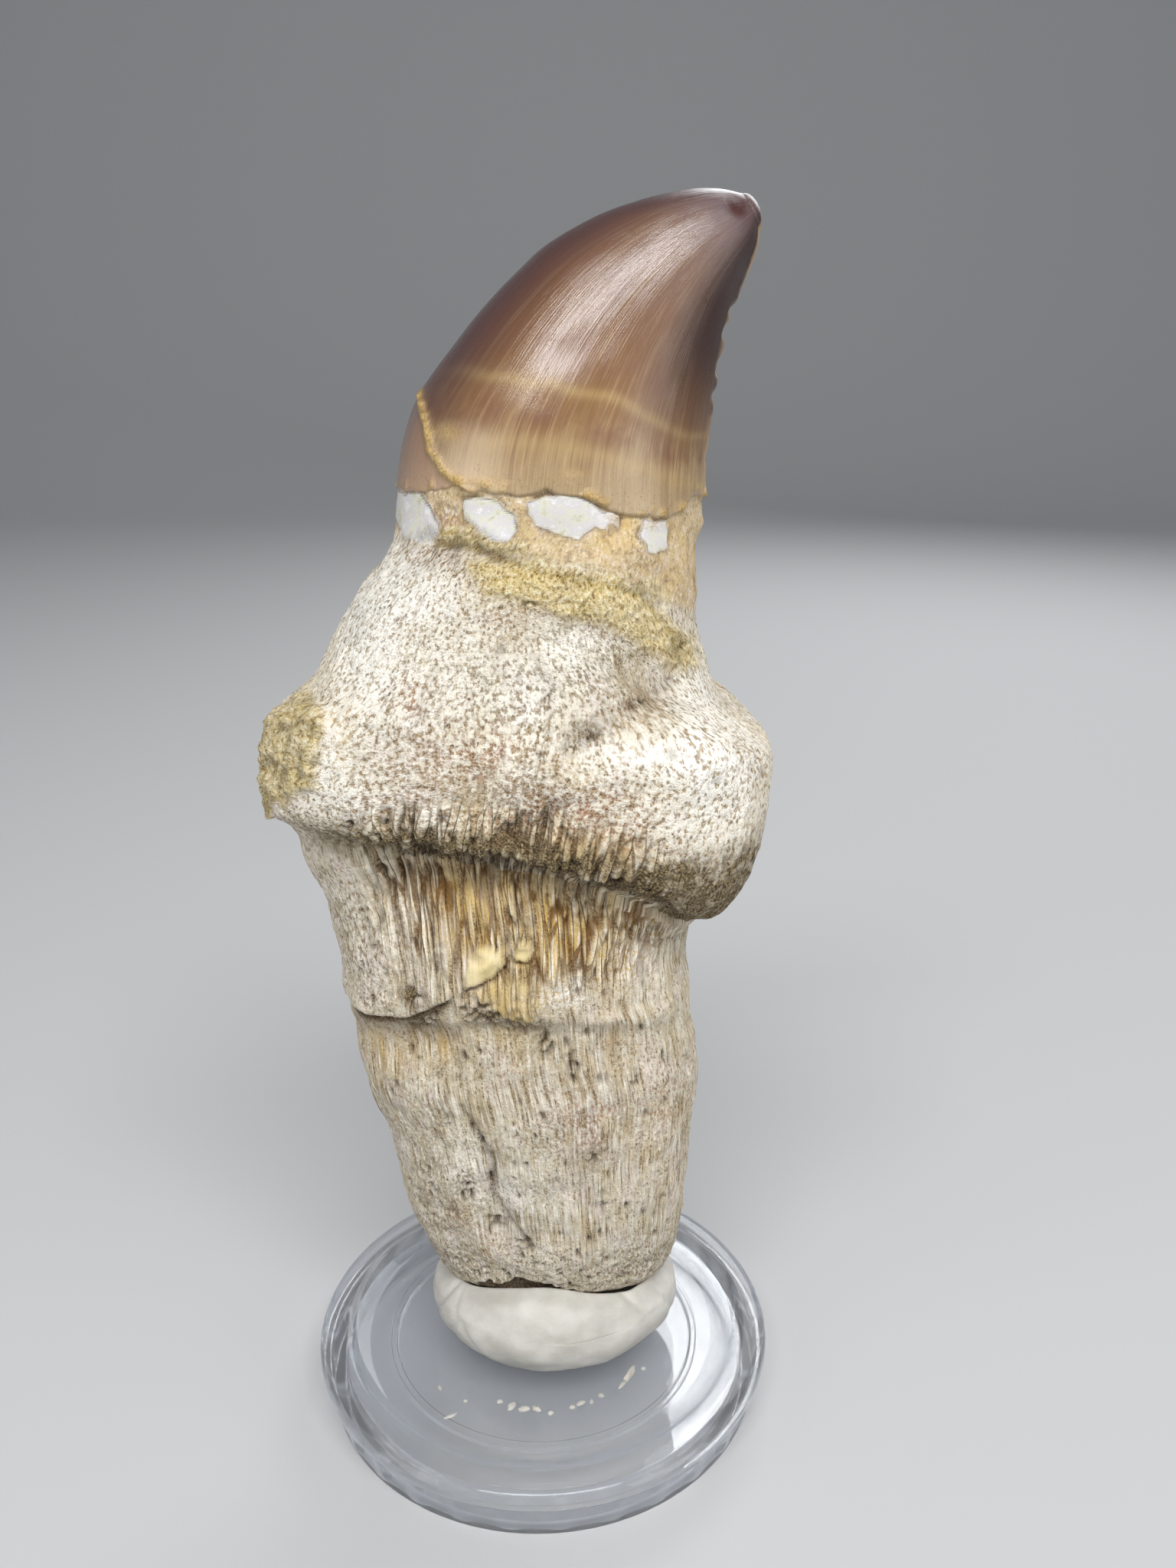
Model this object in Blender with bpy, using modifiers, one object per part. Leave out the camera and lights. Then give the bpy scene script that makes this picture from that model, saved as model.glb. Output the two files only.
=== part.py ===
# A fossil Prognathodon mosasaur tooth, standing in a pad of mounting putty on a clear plastic base.
#
# Metres, +Z up, +X to the viewer's right, -Y towards the viewer who faces the side of the crown.
# The origin is under the middle of the whole on the surface that the base stands on.

import math

import bpy
import bmesh
from mathutils import Vector, noise

MM = 0.001

# Driving dimensions, in millimetres until they are turned into metres by the functions below.
STAND_AXIS_X = 0.7          # the base's axis, so that the whole is centred on the origin
TOUCH_GAP = 0.3             # left between pieces that touch

BASE_RADIUS = 20.0
BASE_FOOT_OUTER = 19.0
BASE_FOOT_INNER = 17.9
BASE_PLATE_TOP = 4.0
BASE_PLATE_UNDERSIDE = 2.8
BASE_RIM_TOP = 5.0
BASE_FLANGE_UNDERSIDE = 3.1
BASE_RIM_INNER = 15.6
BASE_FACETS = 48

PUTTY_CENTRE = (0.9, 0.0)
PUTTY_HALF_WIDTH = 10.9
PUTTY_HALF_DEPTH = 8.2
PUTTY_TOP = 12.6
PUTTY_WIDEST = 7.7
PUTTY_FULLNESS = 0.8        # 1 is an ellipse, less has squarer shoulders
PUTTY_FOOT_CUT = 1.35       # how much of the underside is pressed flat
PUTTY_UNEVEN = 0.02

TOOTH_COLUMNS = 48
RINGS_PER_STATION = 2
ROOT_SQUARENESS = 2.5       # 2 is an ellipse, more is squarer
CROWN_SQUARENESS = 2.05
NECK_STATION = 27           # where the root gives way to the crown

# The tooth's growth rings from the root's end to the tip. Each ring is set by the points where it
# passes the left side (x, z), the right side (x, z), the front (y, z) and the back (y, z), all from
# the base's axis. On the root they follow its ledges, and on the crown they fan round the bend.
STATIONS = [
    # left           right          front           back
    (-5.2, 9.8,      8.0, 9.4,      -3.2, 9.6,      3.4, 9.6),
    (-7.9, 10.4,     9.9, 10.4,     -4.5, 10.8,     4.7, 10.8),
    (-9.1, 12.0,     11.2, 12.0,    -5.2, 12.4,     5.5, 12.4),
    (-10.2, 14.8,    11.8, 14.8,    -6.2, 15.2,     6.4, 15.2),
    (-11.3, 18.0,    12.3, 18.0,    -7.1, 18.5,     7.2, 18.5),
    (-12.1, 21.8,    12.5, 21.8,    -8.0, 22.5,     7.9, 22.2),
    (-12.9, 26.6,    12.7, 26.2,    -8.9, 27.2,     8.6, 27.0),
    (-14.1, 30.0,    13.1, 30.0,    -9.5, 31.4,     9.2, 31.2),
    (-14.8, 33.0,    12.9, 33.2,    -9.9, 35.2,     9.8, 35.0),
    (-15.0, 36.2,    12.4, 36.4,    -10.0, 39.4,    10.2, 38.5),
    (-15.4, 38.4,    12.2, 38.8,    -11.2, 41.2,    10.9, 40.6),
    (-15.6, 42.0,    12.0, 42.0,    -11.3, 44.2,    10.8, 44.5),
    (-16.2, 45.8,    12.1, 43.8,    -10.7, 48.2,    10.9, 48.0),
    (-17.1, 50.0,    12.5, 44.6,    -10.7, 52.4,    11.3, 51.2),
    (-17.9, 52.9,    13.6, 45.2,    -11.8, 53.8,    11.9, 52.3),
    (-19.5, 54.7,    15.2, 46.8,    -13.5, 54.4,    13.3, 53.4),
    (-20.6, 55.7,    16.6, 49.0,    -14.0, 55.8,    13.8, 55.2),
    (-20.6, 57.2,    17.4, 51.8,    -14.0, 57.8,    13.9, 57.6),
    (-20.4, 59.0,    17.9, 55.0,    -13.6, 60.2,    13.7, 60.0),
    (-20.2, 60.8,    18.1, 57.6,    -13.1, 62.3,    13.2, 62.4),
    (-19.5, 62.0,    17.8, 59.5,    -12.6, 64.6,    12.6, 64.6),
    (-17.8, 63.1,    16.3, 60.7,    -12.0, 66.6,    12.0, 66.6),
    (-16.2, 65.0,    14.3, 62.3,    -11.4, 68.6,    11.4, 68.6),
    (-14.9, 67.6,    13.1, 65.1,    -10.8, 70.6,    10.8, 70.8),
    (-13.6, 69.8,    12.3, 67.8,    -10.4, 72.4,    10.3, 72.6),
    (-12.4, 71.6,    11.9, 70.4,    -10.0, 74.0,    9.9, 74.0),
    (-11.0, 73.2,    11.8, 72.6,    -9.8, 75.4,     9.7, 75.4),
    (-10.1, 74.8,    11.8, 74.4,    -9.7, 76.8,     9.6, 76.6),
    (-9.8, 76.8,     12.0, 75.8,    -9.6, 78.0,     9.5, 77.8),
    (-9.4, 79.2,     11.9, 77.6,    -9.4, 79.4,     9.3, 79.2),
    (-8.9, 81.6,     11.9, 79.6,    -9.1, 81.2,     9.0, 81.2),
    (-7.9, 84.2,     12.0, 81.6,    -8.6, 83.2,     8.5, 83.2),
    (-5.9, 86.9,     12.3, 83.9,    -7.9, 85.5,     7.8, 85.5),
    (-3.1, 90.2,     12.6, 86.1,    -6.9, 88.2,     6.8, 88.2),
    (0.6, 93.7,      12.9, 88.2,    -5.8, 90.9,     5.7, 90.9),
    (4.2, 95.8,      13.4, 90.2,    -4.7, 93.0,     4.6, 93.0),
    (7.5, 97.0,      14.1, 92.0,    -3.7, 94.6,     3.6, 94.6),
    (10.3, 97.6,     14.7, 93.4,    -2.9, 95.6,     2.8, 95.6),
    (12.6, 97.7,     15.1, 94.6,    -2.1, 96.2,     2.0, 96.2),
    (14.3, 97.4,     15.2, 95.7,    -1.2, 96.6,     1.1, 96.6),
]
ROOT_END = (1.4, 0.0, 9.0)
CROWN_TIP = (15.25, 0.0, 96.8)

# Lumps and hollows of the bone: angle seen from above (0 right, 90 back, 180 left, 270 front),
# height, half spread in degrees, half spread in height, and how far each stands out or in.
LUMPS = [
    (316, 53.0, 26, 6.0, 1.5),      # right lobe over the undercut
    (308, 60.6, 26, 2.2, 1.6),      # white ridge across the right shoulder
    (304, 65.6, 20, 2.8, -2.0),     # hollow above that ridge
    (232, 66.0, 24, 7.0, 0.8),      # bleached left shoulder
    (262, 58.0, 16, 3.0, -0.7),     # shallow dent in the belly
    (284, 73.0, 22, 2.2, 0.7),      # crust under the crown
    (290, 44.6, 14, 3.2, 0.9),      # swelling on the fibrous shaft
    (222, 43.5, 16, 3.4, 0.8),      # its rough neighbour on the left
    (254, 37.0, 14, 2.4, -0.8),     # pitted stretch under the second ledge
    (256, 24.0, 8, 6.0, -1.0),      # groove down the lower shaft
    (275, 17.0, 12, 3.0, 0.6),
    (236, 15.0, 14, 3.0, -0.5),
    (60, 62.0, 24, 5.0, 1.2),       # the back has the same kind of swellings
    (120, 57.0, 20, 5.0, -0.9),
    (100, 66.5, 26, 3.0, 0.8),
    (86, 42.0, 18, 9.0, -1.3),      # long hollow down the back of the shaft
    (136, 40.0, 14, 5.0, 0.8),
    (40, 33.0, 14, 5.0, 0.7),
    (150, 24.0, 16, 6.0, -0.6),
]

# A block of sandy matrix stuck to the left side: its angles, heights and how far it stands out.
BLOCK_ANGLES = (172, 214)
BLOCK_HEIGHTS = (55.0, 61.5)
BLOCK_RISE = 0.9

UNEVEN_SIZE = 4.5           # distance between the bone's small lumps
UNEVEN_HEIGHT = 0.5

RIB_COUNT = 16              # coarse ribs of bone fibre round the shaft, below the ledge
RIB_HEIGHTS = (16.0, 52.0)
RIB_RISE = 0.3
CARINA_RISE = 0.35          # the cutting edge along the crown's hollow side


def smooth_step(low, high, value):
    """0 below low, 1 above high and an even curve between."""
    part = min(max((value - low) / (high - low), 0.0), 1.0)
    return part * part * (3.0 - 2.0 * part)


def turn_between(angle, other):
    """How far apart two directions are, in degrees."""
    return abs((angle - other + 180.0) % 360.0 - 180.0)


def station_at(place):
    """The eight outline values at a place along the stations, on a smooth curve through them."""
    first = min(int(place), len(STATIONS) - 2)
    part = place - first
    before = STATIONS[max(first - 1, 0)]
    start = STATIONS[first]
    end = STATIONS[first + 1]
    after = STATIONS[min(first + 2, len(STATIONS) - 1)]
    values = []
    for a, b, c, d in zip(before, start, end, after):
        linear = c - a
        square = 2.0 * a - 5.0 * b + 4.0 * c - d
        cube = 3.0 * b - a - 3.0 * c + d
        values.append(0.5 * (2.0 * b + part * (linear + part * (square + part * cube))))
    return values


def bone_relief(angle, height):
    """How far the root's surface stands out from its growth rings."""
    rise = 0.0
    for lump_angle, lump_height, spread, tall, amount in LUMPS:
        across = turn_between(angle, lump_angle) / spread
        along = (height - lump_height) / tall
        rise += amount * math.exp(-(across * across + along * along))
    low, high = BLOCK_ANGLES
    middle = 0.5 * (low + high)
    inside = 1.0 - smooth_step(0.5 * (high - low) - 5.0, 0.5 * (high - low), turn_between(angle, middle))
    inside *= smooth_step(BLOCK_HEIGHTS[0] - 1.0, BLOCK_HEIGHTS[0], height)
    inside *= 1.0 - smooth_step(BLOCK_HEIGHTS[1], BLOCK_HEIGHTS[1] + 1.0, height)
    low, high = RIB_HEIGHTS
    ribbed = smooth_step(low, low + 8.0, height) * (1.0 - smooth_step(high - 3.0, high, height))
    ribbed *= RIB_RISE * math.cos(math.radians(RIB_COUNT * angle))
    return rise + BLOCK_RISE * inside + ribbed


def tooth_point(place, angle, grow):
    """A point of the tooth's surface, in millimetres, grown outwards by a clearance."""
    left_x, left_z, right_x, right_z, front_y, front_z, back_y, back_z = station_at(place)
    crown = smooth_step(NECK_STATION - 1.0, NECK_STATION + 1.0, place)
    squareness = ROOT_SQUARENESS + (CROWN_SQUARENESS - ROOT_SQUARENESS) * crown
    turn = math.radians(angle)
    across = math.copysign(abs(math.cos(turn)) ** (2.0 / squareness), math.cos(turn))
    deep = math.copysign(abs(math.sin(turn)) ** (2.0 / squareness), math.sin(turn))

    middle = Vector((0.5 * (left_x + right_x), 0.0, 0.5 * (left_z + right_z)))
    half = Vector((0.5 * (right_x - left_x), 0.0, 0.5 * (right_z - left_z)))
    depth, depth_z = (back_y, back_z) if deep > 0.0 else (-front_y, front_z)
    point = middle + half * across + Vector((0.0, depth * deep, 0.0))
    point.z += (depth_z - middle.z) * math.sin(turn) ** 2

    outward = half.normalized() * (math.cos(turn) / half.length)
    outward.y += math.sin(turn) / depth
    outward.normalize()
    rise = (1.0 - crown) * bone_relief(angle, point.z)
    rise += (1.0 - crown) * UNEVEN_HEIGHT * noise.noise(point / UNEVEN_SIZE)
    rise += crown * CARINA_RISE * math.exp(-(turn_between(angle, 0.0) / 9.0) ** 2)
    keep_outline = math.sin(turn) ** 2
    rise *= max(keep_outline, crown)
    return point + outward * (rise + grow)


def loft_tooth(name, last_place, columns, grow):
    """A closed loft through the growth rings, from the root's end to a place along them."""
    shape = bmesh.new()
    count = int(round(last_place * RINGS_PER_STATION)) + 1
    rings = []
    for step in range(count):
        place = step / RINGS_PER_STATION
        ring = []
        for column in range(columns):
            point = tooth_point(place, 360.0 * column / columns, grow)
            ring.append(shape.verts.new(point * MM))
        rings.append(ring)
    for lower, upper in zip(rings, rings[1:]):
        for column in range(columns):
            after = (column + 1) % columns
            shape.faces.new((lower[column], lower[after], upper[after], upper[column]))

    foot = shape.verts.new((Vector(ROOT_END) - Vector((0.0, 0.0, grow))) * MM)
    if last_place == len(STATIONS) - 1:
        top = shape.verts.new(Vector(CROWN_TIP) * MM)
    else:
        top = shape.verts.new(sum((vert.co for vert in rings[-1]), Vector()) / columns)
    for column in range(columns):
        after = (column + 1) % columns
        shape.faces.new((rings[0][after], rings[0][column], foot))
        shape.faces.new((rings[-1][column], rings[-1][after], top))

    mesh = bpy.data.meshes.new(name)
    shape.to_mesh(mesh)
    shape.free()
    mesh.shade_smooth()
    return bpy.data.objects.new(name, mesh)


def make_putty():
    """A hand-rolled pad, flat where it sits on the plate and bulging over its own foot."""
    shape = bmesh.new()
    bmesh.ops.create_uvsphere(shape, u_segments=36, v_segments=12, radius=1.0)
    bottom = BASE_PLATE_TOP + TOUCH_GAP
    for vert in shape.verts:
        if vert.co.z > 0.0:
            height = PUTTY_WIDEST + (PUTTY_TOP - PUTTY_WIDEST) * vert.co.z
        else:
            height = PUTTY_WIDEST + (PUTTY_WIDEST - bottom) * max(vert.co.z * PUTTY_FOOT_CUT, -1.0)
        spread = math.hypot(vert.co.x, vert.co.y)
        fuller = spread ** (PUTTY_FULLNESS - 1.0) if spread > 0.0 else 1.0
        turn = math.atan2(vert.co.y, vert.co.x)
        fuller *= 1.0 + PUTTY_UNEVEN * math.sin(3.0 * turn + 0.6)
        across = PUTTY_CENTRE[0] + PUTTY_HALF_WIDTH * fuller * vert.co.x
        deep = PUTTY_CENTRE[1] + PUTTY_HALF_DEPTH * fuller * vert.co.y
        vert.co = Vector((across, deep, height)) * MM
    mesh = bpy.data.meshes.new("mounting_putty")
    shape.to_mesh(mesh)
    shape.free()
    mesh.shade_smooth()
    return bpy.data.objects.new("mounting_putty", mesh)


def base_profile():
    """The turned profile of the clear base, from its middle out, down the outside and back."""
    rolled_rim = [(16.7, 4.45), (17.3, 4.9), (18.0, BASE_RIM_TOP), (18.9, BASE_RIM_TOP), (19.6, 4.75)]
    return [
        (0.0, BASE_PLATE_TOP),
        (BASE_RIM_INNER, BASE_PLATE_TOP),
        *rolled_rim,
        (BASE_RADIUS, 4.2),
        (BASE_RADIUS, BASE_FLANGE_UNDERSIDE + 0.35),
        (BASE_RADIUS - 0.35, BASE_FLANGE_UNDERSIDE),
        (BASE_FOOT_OUTER, BASE_FLANGE_UNDERSIDE),
        (BASE_FOOT_OUTER, 0.0),
        (BASE_FOOT_INNER, 0.0),
        (BASE_FOOT_INNER, BASE_PLATE_UNDERSIDE),
        (0.0, BASE_PLATE_UNDERSIDE),
    ]


def make_base():
    """The clear base is turned about its own axis."""
    profile = bmesh.new()
    points = [profile.verts.new((radius * MM, 0.0, height * MM)) for radius, height in base_profile()]
    for start, end in zip(points, points[1:]):
        profile.edges.new((start, end))
    mesh = bpy.data.meshes.new("clear_base")
    profile.to_mesh(mesh)
    profile.free()
    base = bpy.data.objects.new("clear_base", mesh)
    screw = base.modifiers.new("turned", "SCREW")
    screw.axis = "Z"
    screw.angle = math.tau
    screw.steps = BASE_FACETS
    screw.render_steps = BASE_FACETS
    screw.use_merge_vertices = True
    screw.merge_threshold = 0.00001
    screw.use_smooth_shade = True
    return base


def give_material(piece, name, colour, roughness, alpha=1.0):
    material = bpy.data.materials.new(name)
    material.use_nodes = True
    shader = material.node_tree.nodes["Principled BSDF"]
    shader.inputs["Base Color"].default_value = (*colour, 1.0)
    shader.inputs["Roughness"].default_value = roughness
    shader.inputs["Metallic"].default_value = 0.0
    shader.inputs["Alpha"].default_value = alpha
    piece.data.materials.append(material)


def build():
    for leftover in list(bpy.data.objects):
        bpy.data.objects.remove(leftover, do_unlink=True)
    parts = bpy.data.collections.new("prognathodon_tooth")
    cutters = bpy.data.collections.new("cutters")
    bpy.context.scene.collection.children.link(parts)
    bpy.context.scene.collection.children.link(cutters)

    stand_axis = bpy.data.objects.new("stand_axis", None)
    stand_axis.location = (STAND_AXIS_X * MM, 0.0, 0.0)
    parts.objects.link(stand_axis)

    tooth = loft_tooth("tooth", len(STATIONS) - 1, TOOTH_COLUMNS, 0.0)
    putty = make_putty()
    base = make_base()
    give_material(tooth, "fossil_bone_and_enamel", (0.55, 0.44, 0.31), 0.6)
    give_material(putty, "mounting_putty", (0.83, 0.79, 0.70), 0.55)
    give_material(base, "clear_plastic", (0.92, 0.94, 0.96), 0.05, alpha=0.35)
    for piece in (tooth, putty, base):
        parts.objects.link(piece)
        piece.parent = stand_axis

    pocket = loft_tooth("root_end_pocket", 4, TOOTH_COLUMNS, TOUCH_GAP)
    cutters.objects.link(pocket)
    pocket.parent = stand_axis
    pocket.hide_render = True
    pocket.display_type = "WIRE"
    cut = putty.modifiers.new("pressed_by_root", "BOOLEAN")
    cut.operation = "DIFFERENCE"
    cut.object = pocket


build()
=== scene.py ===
import itertools
import math

import bpy
import numpy as np
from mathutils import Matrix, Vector, noise


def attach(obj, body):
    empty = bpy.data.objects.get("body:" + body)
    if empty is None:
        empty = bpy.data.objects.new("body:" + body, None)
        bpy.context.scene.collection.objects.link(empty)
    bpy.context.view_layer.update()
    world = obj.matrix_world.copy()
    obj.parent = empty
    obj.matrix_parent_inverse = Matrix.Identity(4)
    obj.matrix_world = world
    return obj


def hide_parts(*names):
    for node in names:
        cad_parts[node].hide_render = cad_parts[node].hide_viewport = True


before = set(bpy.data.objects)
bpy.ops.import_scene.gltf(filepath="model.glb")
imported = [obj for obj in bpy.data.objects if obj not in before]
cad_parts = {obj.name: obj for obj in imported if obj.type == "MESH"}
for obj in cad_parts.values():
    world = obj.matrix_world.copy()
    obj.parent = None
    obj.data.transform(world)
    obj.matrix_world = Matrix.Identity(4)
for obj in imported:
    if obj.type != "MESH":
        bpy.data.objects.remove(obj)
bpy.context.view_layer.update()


# The clear base: a shallow round lid moulded in one piece of clear plastic. A thin plate on a foot ring
# carries a rolled rim, and short grip dashes stand on the wall under the rim. It stands on its foot ring.
MM = 0.001
base_axis_x = 0.7           # millimetres from the middle of the whole to the base's own axis
base_sides = 240
plate_underside, plate_top, plate_hub = 2.8, 4.0, 0.6
wall_radius = 19.0
dash_count, dash_rise, dash_low, dash_high = 30, 0.26, 0.5, 2.75
base_corners = [            # radius, height and rounding of each corner, in millimetres, from underneath
    (13.2, 2.8, 0.05), (13.3, 2.95, 0.05), (13.7, 2.95, 0.05), (13.8, 2.8, 0.05), (17.9, 2.8, 0.35),
    (17.9, 0, 0.15), (19, 0, 0.15), (19, 3.1, 0.25), (19.65, 3.1, 0.15), (20, 3.45, 0.3), (20, 4.2, 0.5),
    (19.6, 4.75, 0.5), (18.9, 5, 0.5), (18, 5, 0.5), (17.3, 4.9, 0.5), (16.7, 4.45, 0.6), (15.6, 4, 0.7),
]


def kept_share(value):
    """A share, kept from 0 to 1."""
    return np.clip(value, 0.0, 1.0)


def soft_step(low, high, value):
    """0 at or under low, 1 at or over high, and smooth between them."""
    part = kept_share((value - low) / (high - low))
    return part * part * (3.0 - 2.0 * part)


def rounded(corners, first, last):
    """The corners of a moulded profile, each rounded off, with close pairs of points where a flat ends."""
    points = [np.array(first)]
    ends = [first, *[(radius, height) for radius, height, _ in corners], last]
    for before, corner, after in zip(ends, corners, ends[2:]):
        middle = np.array(corner[:2])
        to_before = np.array(before) - middle
        to_after = np.array(after) - middle
        reach_before = min(corner[2], 0.45 * np.linalg.norm(to_before)) / np.linalg.norm(to_before)
        reach_after = min(corner[2], 0.45 * np.linalg.norm(to_after)) / np.linalg.norm(to_after)
        for part in np.linspace(0.0, 1.0, 6):
            start = to_before * reach_before * (1.0 - part) ** 2
            points.append(middle + start + to_after * reach_after * part ** 2)
    points.append(np.array(last))
    profile = [points[0]]
    for start, end in zip(points, points[1:]):
        length = np.linalg.norm(end - start)
        if length > 0.5:
            count = max(2, int(length / 0.4)) if abs(end[0] - start[0]) < 0.01 else 2
            parts = np.linspace(0.1 / length, 1.0 - 0.1 / length, count)
            profile += [start + (end - start) * part for part in parts]
        profile.append(end)
    return np.array(profile)


def skin(name, points, foot, top, marks=None):
    """A closed piece over rings of points in millimetres, lowest ring first, each ring anticlockwise."""
    rings, around = points.shape[:2]
    index = np.arange(rings * around).reshape(rings, around)
    after = np.roll(index, -1, axis=1)
    quads = np.stack([index[:-1], after[:-1], after[1:], index[1:]], axis=-1).reshape(-1, 4).tolist()
    foot_corner, top_corner = rings * around, rings * around + 1
    foot_fan = [(end, start, foot_corner) for start, end in zip(index[0].tolist(), after[0].tolist())]
    top_fan = [(start, end, top_corner) for start, end in zip(index[-1].tolist(), after[-1].tolist())]
    corners = np.vstack([points.reshape(-1, 3), [foot], [top]])
    corners[:, 0] += base_axis_x
    mesh = bpy.data.meshes.new(name)
    mesh.from_pydata((corners * MM).tolist(), [], quads + foot_fan + top_fan)
    for mark, values in (marks or {}).items():
        flat = values.reshape(rings * around, -1)
        flat = np.vstack([flat, flat[:around].mean(axis=0), flat[-around:].mean(axis=0)])
        is_vector = flat.shape[1] == 3
        layer = mesh.attributes.new(mark, "FLOAT_VECTOR" if is_vector else "FLOAT", "POINT")
        layer.data.foreach_set("vector" if is_vector else "value", flat.astype(np.float32).ravel())
    mesh.shade_smooth()
    piece = bpy.data.objects.new(name, mesh)
    bpy.context.scene.collection.objects.link(piece)
    return piece


def paint(red, green, blue):
    """A colour picked on a screen, from 0 to 255, as the linear values that a shader takes."""
    parts = [value / 255.0 for value in (red, green, blue)]
    return (*[part / 12.92 if part < 0.0405 else ((part + 0.055) / 1.055) ** 2.4 for part in parts], 1.0)


def new_finish(name):
    """Starts a finish. What follows adds its nodes to the one that is called finish at the time."""
    started = bpy.data.materials.new(name)
    started.use_nodes = True
    return started, started.node_tree.nodes["Principled BSDF"]


def join(node, sockets):
    """Links each named socket that gets another node's output, and sets the others."""
    for socket, value in sockets.items():
        if isinstance(value, bpy.types.NodeSocket):
            finish.node_tree.links.new(value, node.inputs[socket])
        else:
            node.inputs[socket].default_value = value


def add_node(kind, sockets, **settings):
    node = finish.node_tree.nodes.new("ShaderNode" + kind)
    for setting, value in settings.items():
        setattr(node, setting, value)
    join(node, sockets)
    return node


def scaled(where, sizes):
    """Places counted in these sizes."""
    return add_node("VectorMath", {0: where, 1: sizes}, operation="DIVIDE").outputs[0]


def mottled(where, sizes, detail, rough):
    """Cloudy unevenness from 0 to 1, with patches of these sizes in the units of where."""
    return add_node("TexNoise", {"Vector": scaled(where, sizes), "Scale": 1.0, "Detail": detail,
                                 "Roughness": rough}).outputs["Fac"]


def faded(value, low, high, to_low=0.0, to_high=1.0):
    """A node value eased from to_low, where it is at low, to to_high, where it is at high."""
    return add_node("MapRange", {"Value": value, "From Min": low, "From Max": high, "To Min": to_low,
                                 "To Max": to_high}, interpolation_type="SMOOTHSTEP").outputs["Result"]


def bumps(height, strength, distance):
    return add_node("Bump", {"Height": height, "Strength": strength, "Distance": distance}).outputs[0]


def base_ring_points():
    profile = rounded(base_corners, (plate_hub, plate_underside), (plate_hub, plate_top))
    turn = np.arange(base_sides) / base_sides * math.tau
    radius = np.repeat(profile[:, :1], base_sides, axis=1)
    height = np.repeat(profile[:, 1:], base_sides, axis=1)
    on_wall = (np.abs(radius - wall_radius) < 0.01) * soft_step(dash_low, dash_low + 0.4, height)
    on_wall = on_wall * soft_step(dash_high, dash_high - 0.4, height)
    dash = soft_step(0.15, 0.75, np.cos(turn * dash_count))
    radius = radius + dash_rise * on_wall * dash
    return np.stack([radius * np.cos(turn), radius * np.sin(turn), height], axis=-1)


clear_base = skin("clear_base_lid", base_ring_points(), (0.0, 0.0, plate_underside), (0.0, 0.0, plate_top))
finish, shader = new_finish("clear_moulded_plastic")
spot = add_node("TexCoord", {}).outputs["Object"]
smear = mottled(spot, (0.011, 0.0035, 0.01), 4.0, 0.6)
hairline = mottled(spot, (0.03, 0.0002, 0.03), 2.0, 0.4)
tilt = add_node("LayerWeight", {"Blend": 0.5}).outputs["Facing"]
join(shader, {"Base Color": paint(236, 242, 250), "Transmission Weight": 1.0, "IOR": 1.49,
              "Roughness": faded(smear, 0.52, 0.78, 0.015, 0.16), "Alpha": faded(tilt, 0.25, 0.8, 0.5, 1.0),
              "Normal": bumps(hairline, 0.12, 0.00002)})
clear_base.data.materials.append(finish)
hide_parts("clear_base")
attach(clear_base, "root")


# The mounting putty: one lump of off-white adhesive putty, rolled by hand and pressed down on the plate
# and up round the broken root. It bulges over its own foot and has left a tail and crumbs on the plate.
putty_centre = (0.9, 0.0)
putty_half_width, putty_half_depth = 10.9, 8.2
putty_top, putty_widest = 12.6, 7.7
pocket_half_width, pocket_half_depth, pocket_floor = 10.0, 5.7, 10.0
pocket_squareness, pocket_depth = 2.6, 2.6
putty_rings, putty_around = 130, 260
putty_creases = [           # where round the lump, from which height to which, and how deep
    (200, 5.5, 11.8, 0.30), (214, 6, 10.5, 0.16), (229, 5, 8.5, 0.14), (322, 8.2, 11.6, 0.20),
    (341, 6, 10, 0.14), (64, 5.5, 11, 0.22), (118, 7, 11.5, 0.18),
]


def toss(cells, seed):
    """A steady random number from 0 to 1 for each whole-numbered cell."""
    across, deep, up = np.moveaxis(cells.astype(np.int64), -1, 0)
    mixed = (across * 374761393 + deep * 668265263 + up * 1442695041 + seed * 97471167) & 0xFFFFFFFF
    mixed = ((mixed ^ (mixed >> 13)) * 1274126177) & 0xFFFFFFFF
    mixed = ((mixed ^ (mixed >> 16)) * 1103515245) & 0xFFFFFFFF
    return (mixed ^ (mixed >> 15)) / 0xFFFFFFFF


def grain(cells, seed):
    """Smooth unevenness from about -1 to 1, with a bump or a dip to each cell."""
    home = np.floor(cells)
    part = cells - home
    ease = part * part * (3.0 - 2.0 * part)
    total = np.zeros(cells.shape[:-1])
    for corner in itertools.product((0, 1), repeat=3):
        weight = np.prod(np.where(np.array(corner) == 1, ease, 1.0 - ease), axis=-1)
        slopes = [toss(home + corner, seed + axis) * 2.0 - 1.0 for axis in range(3)]
        total += weight * sum(slope * (part[..., axis] - corner[axis]) for axis, slope in enumerate(slopes))
    return 1.7 * total


def turn_between(angle, other):
    return np.abs((angle - other + 180.0) % 360.0 - 180.0)


def bell(away, wide):
    """1 where away is 0, and next to nothing from twice wide on."""
    return np.exp(-(away / wide) ** 2)


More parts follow.
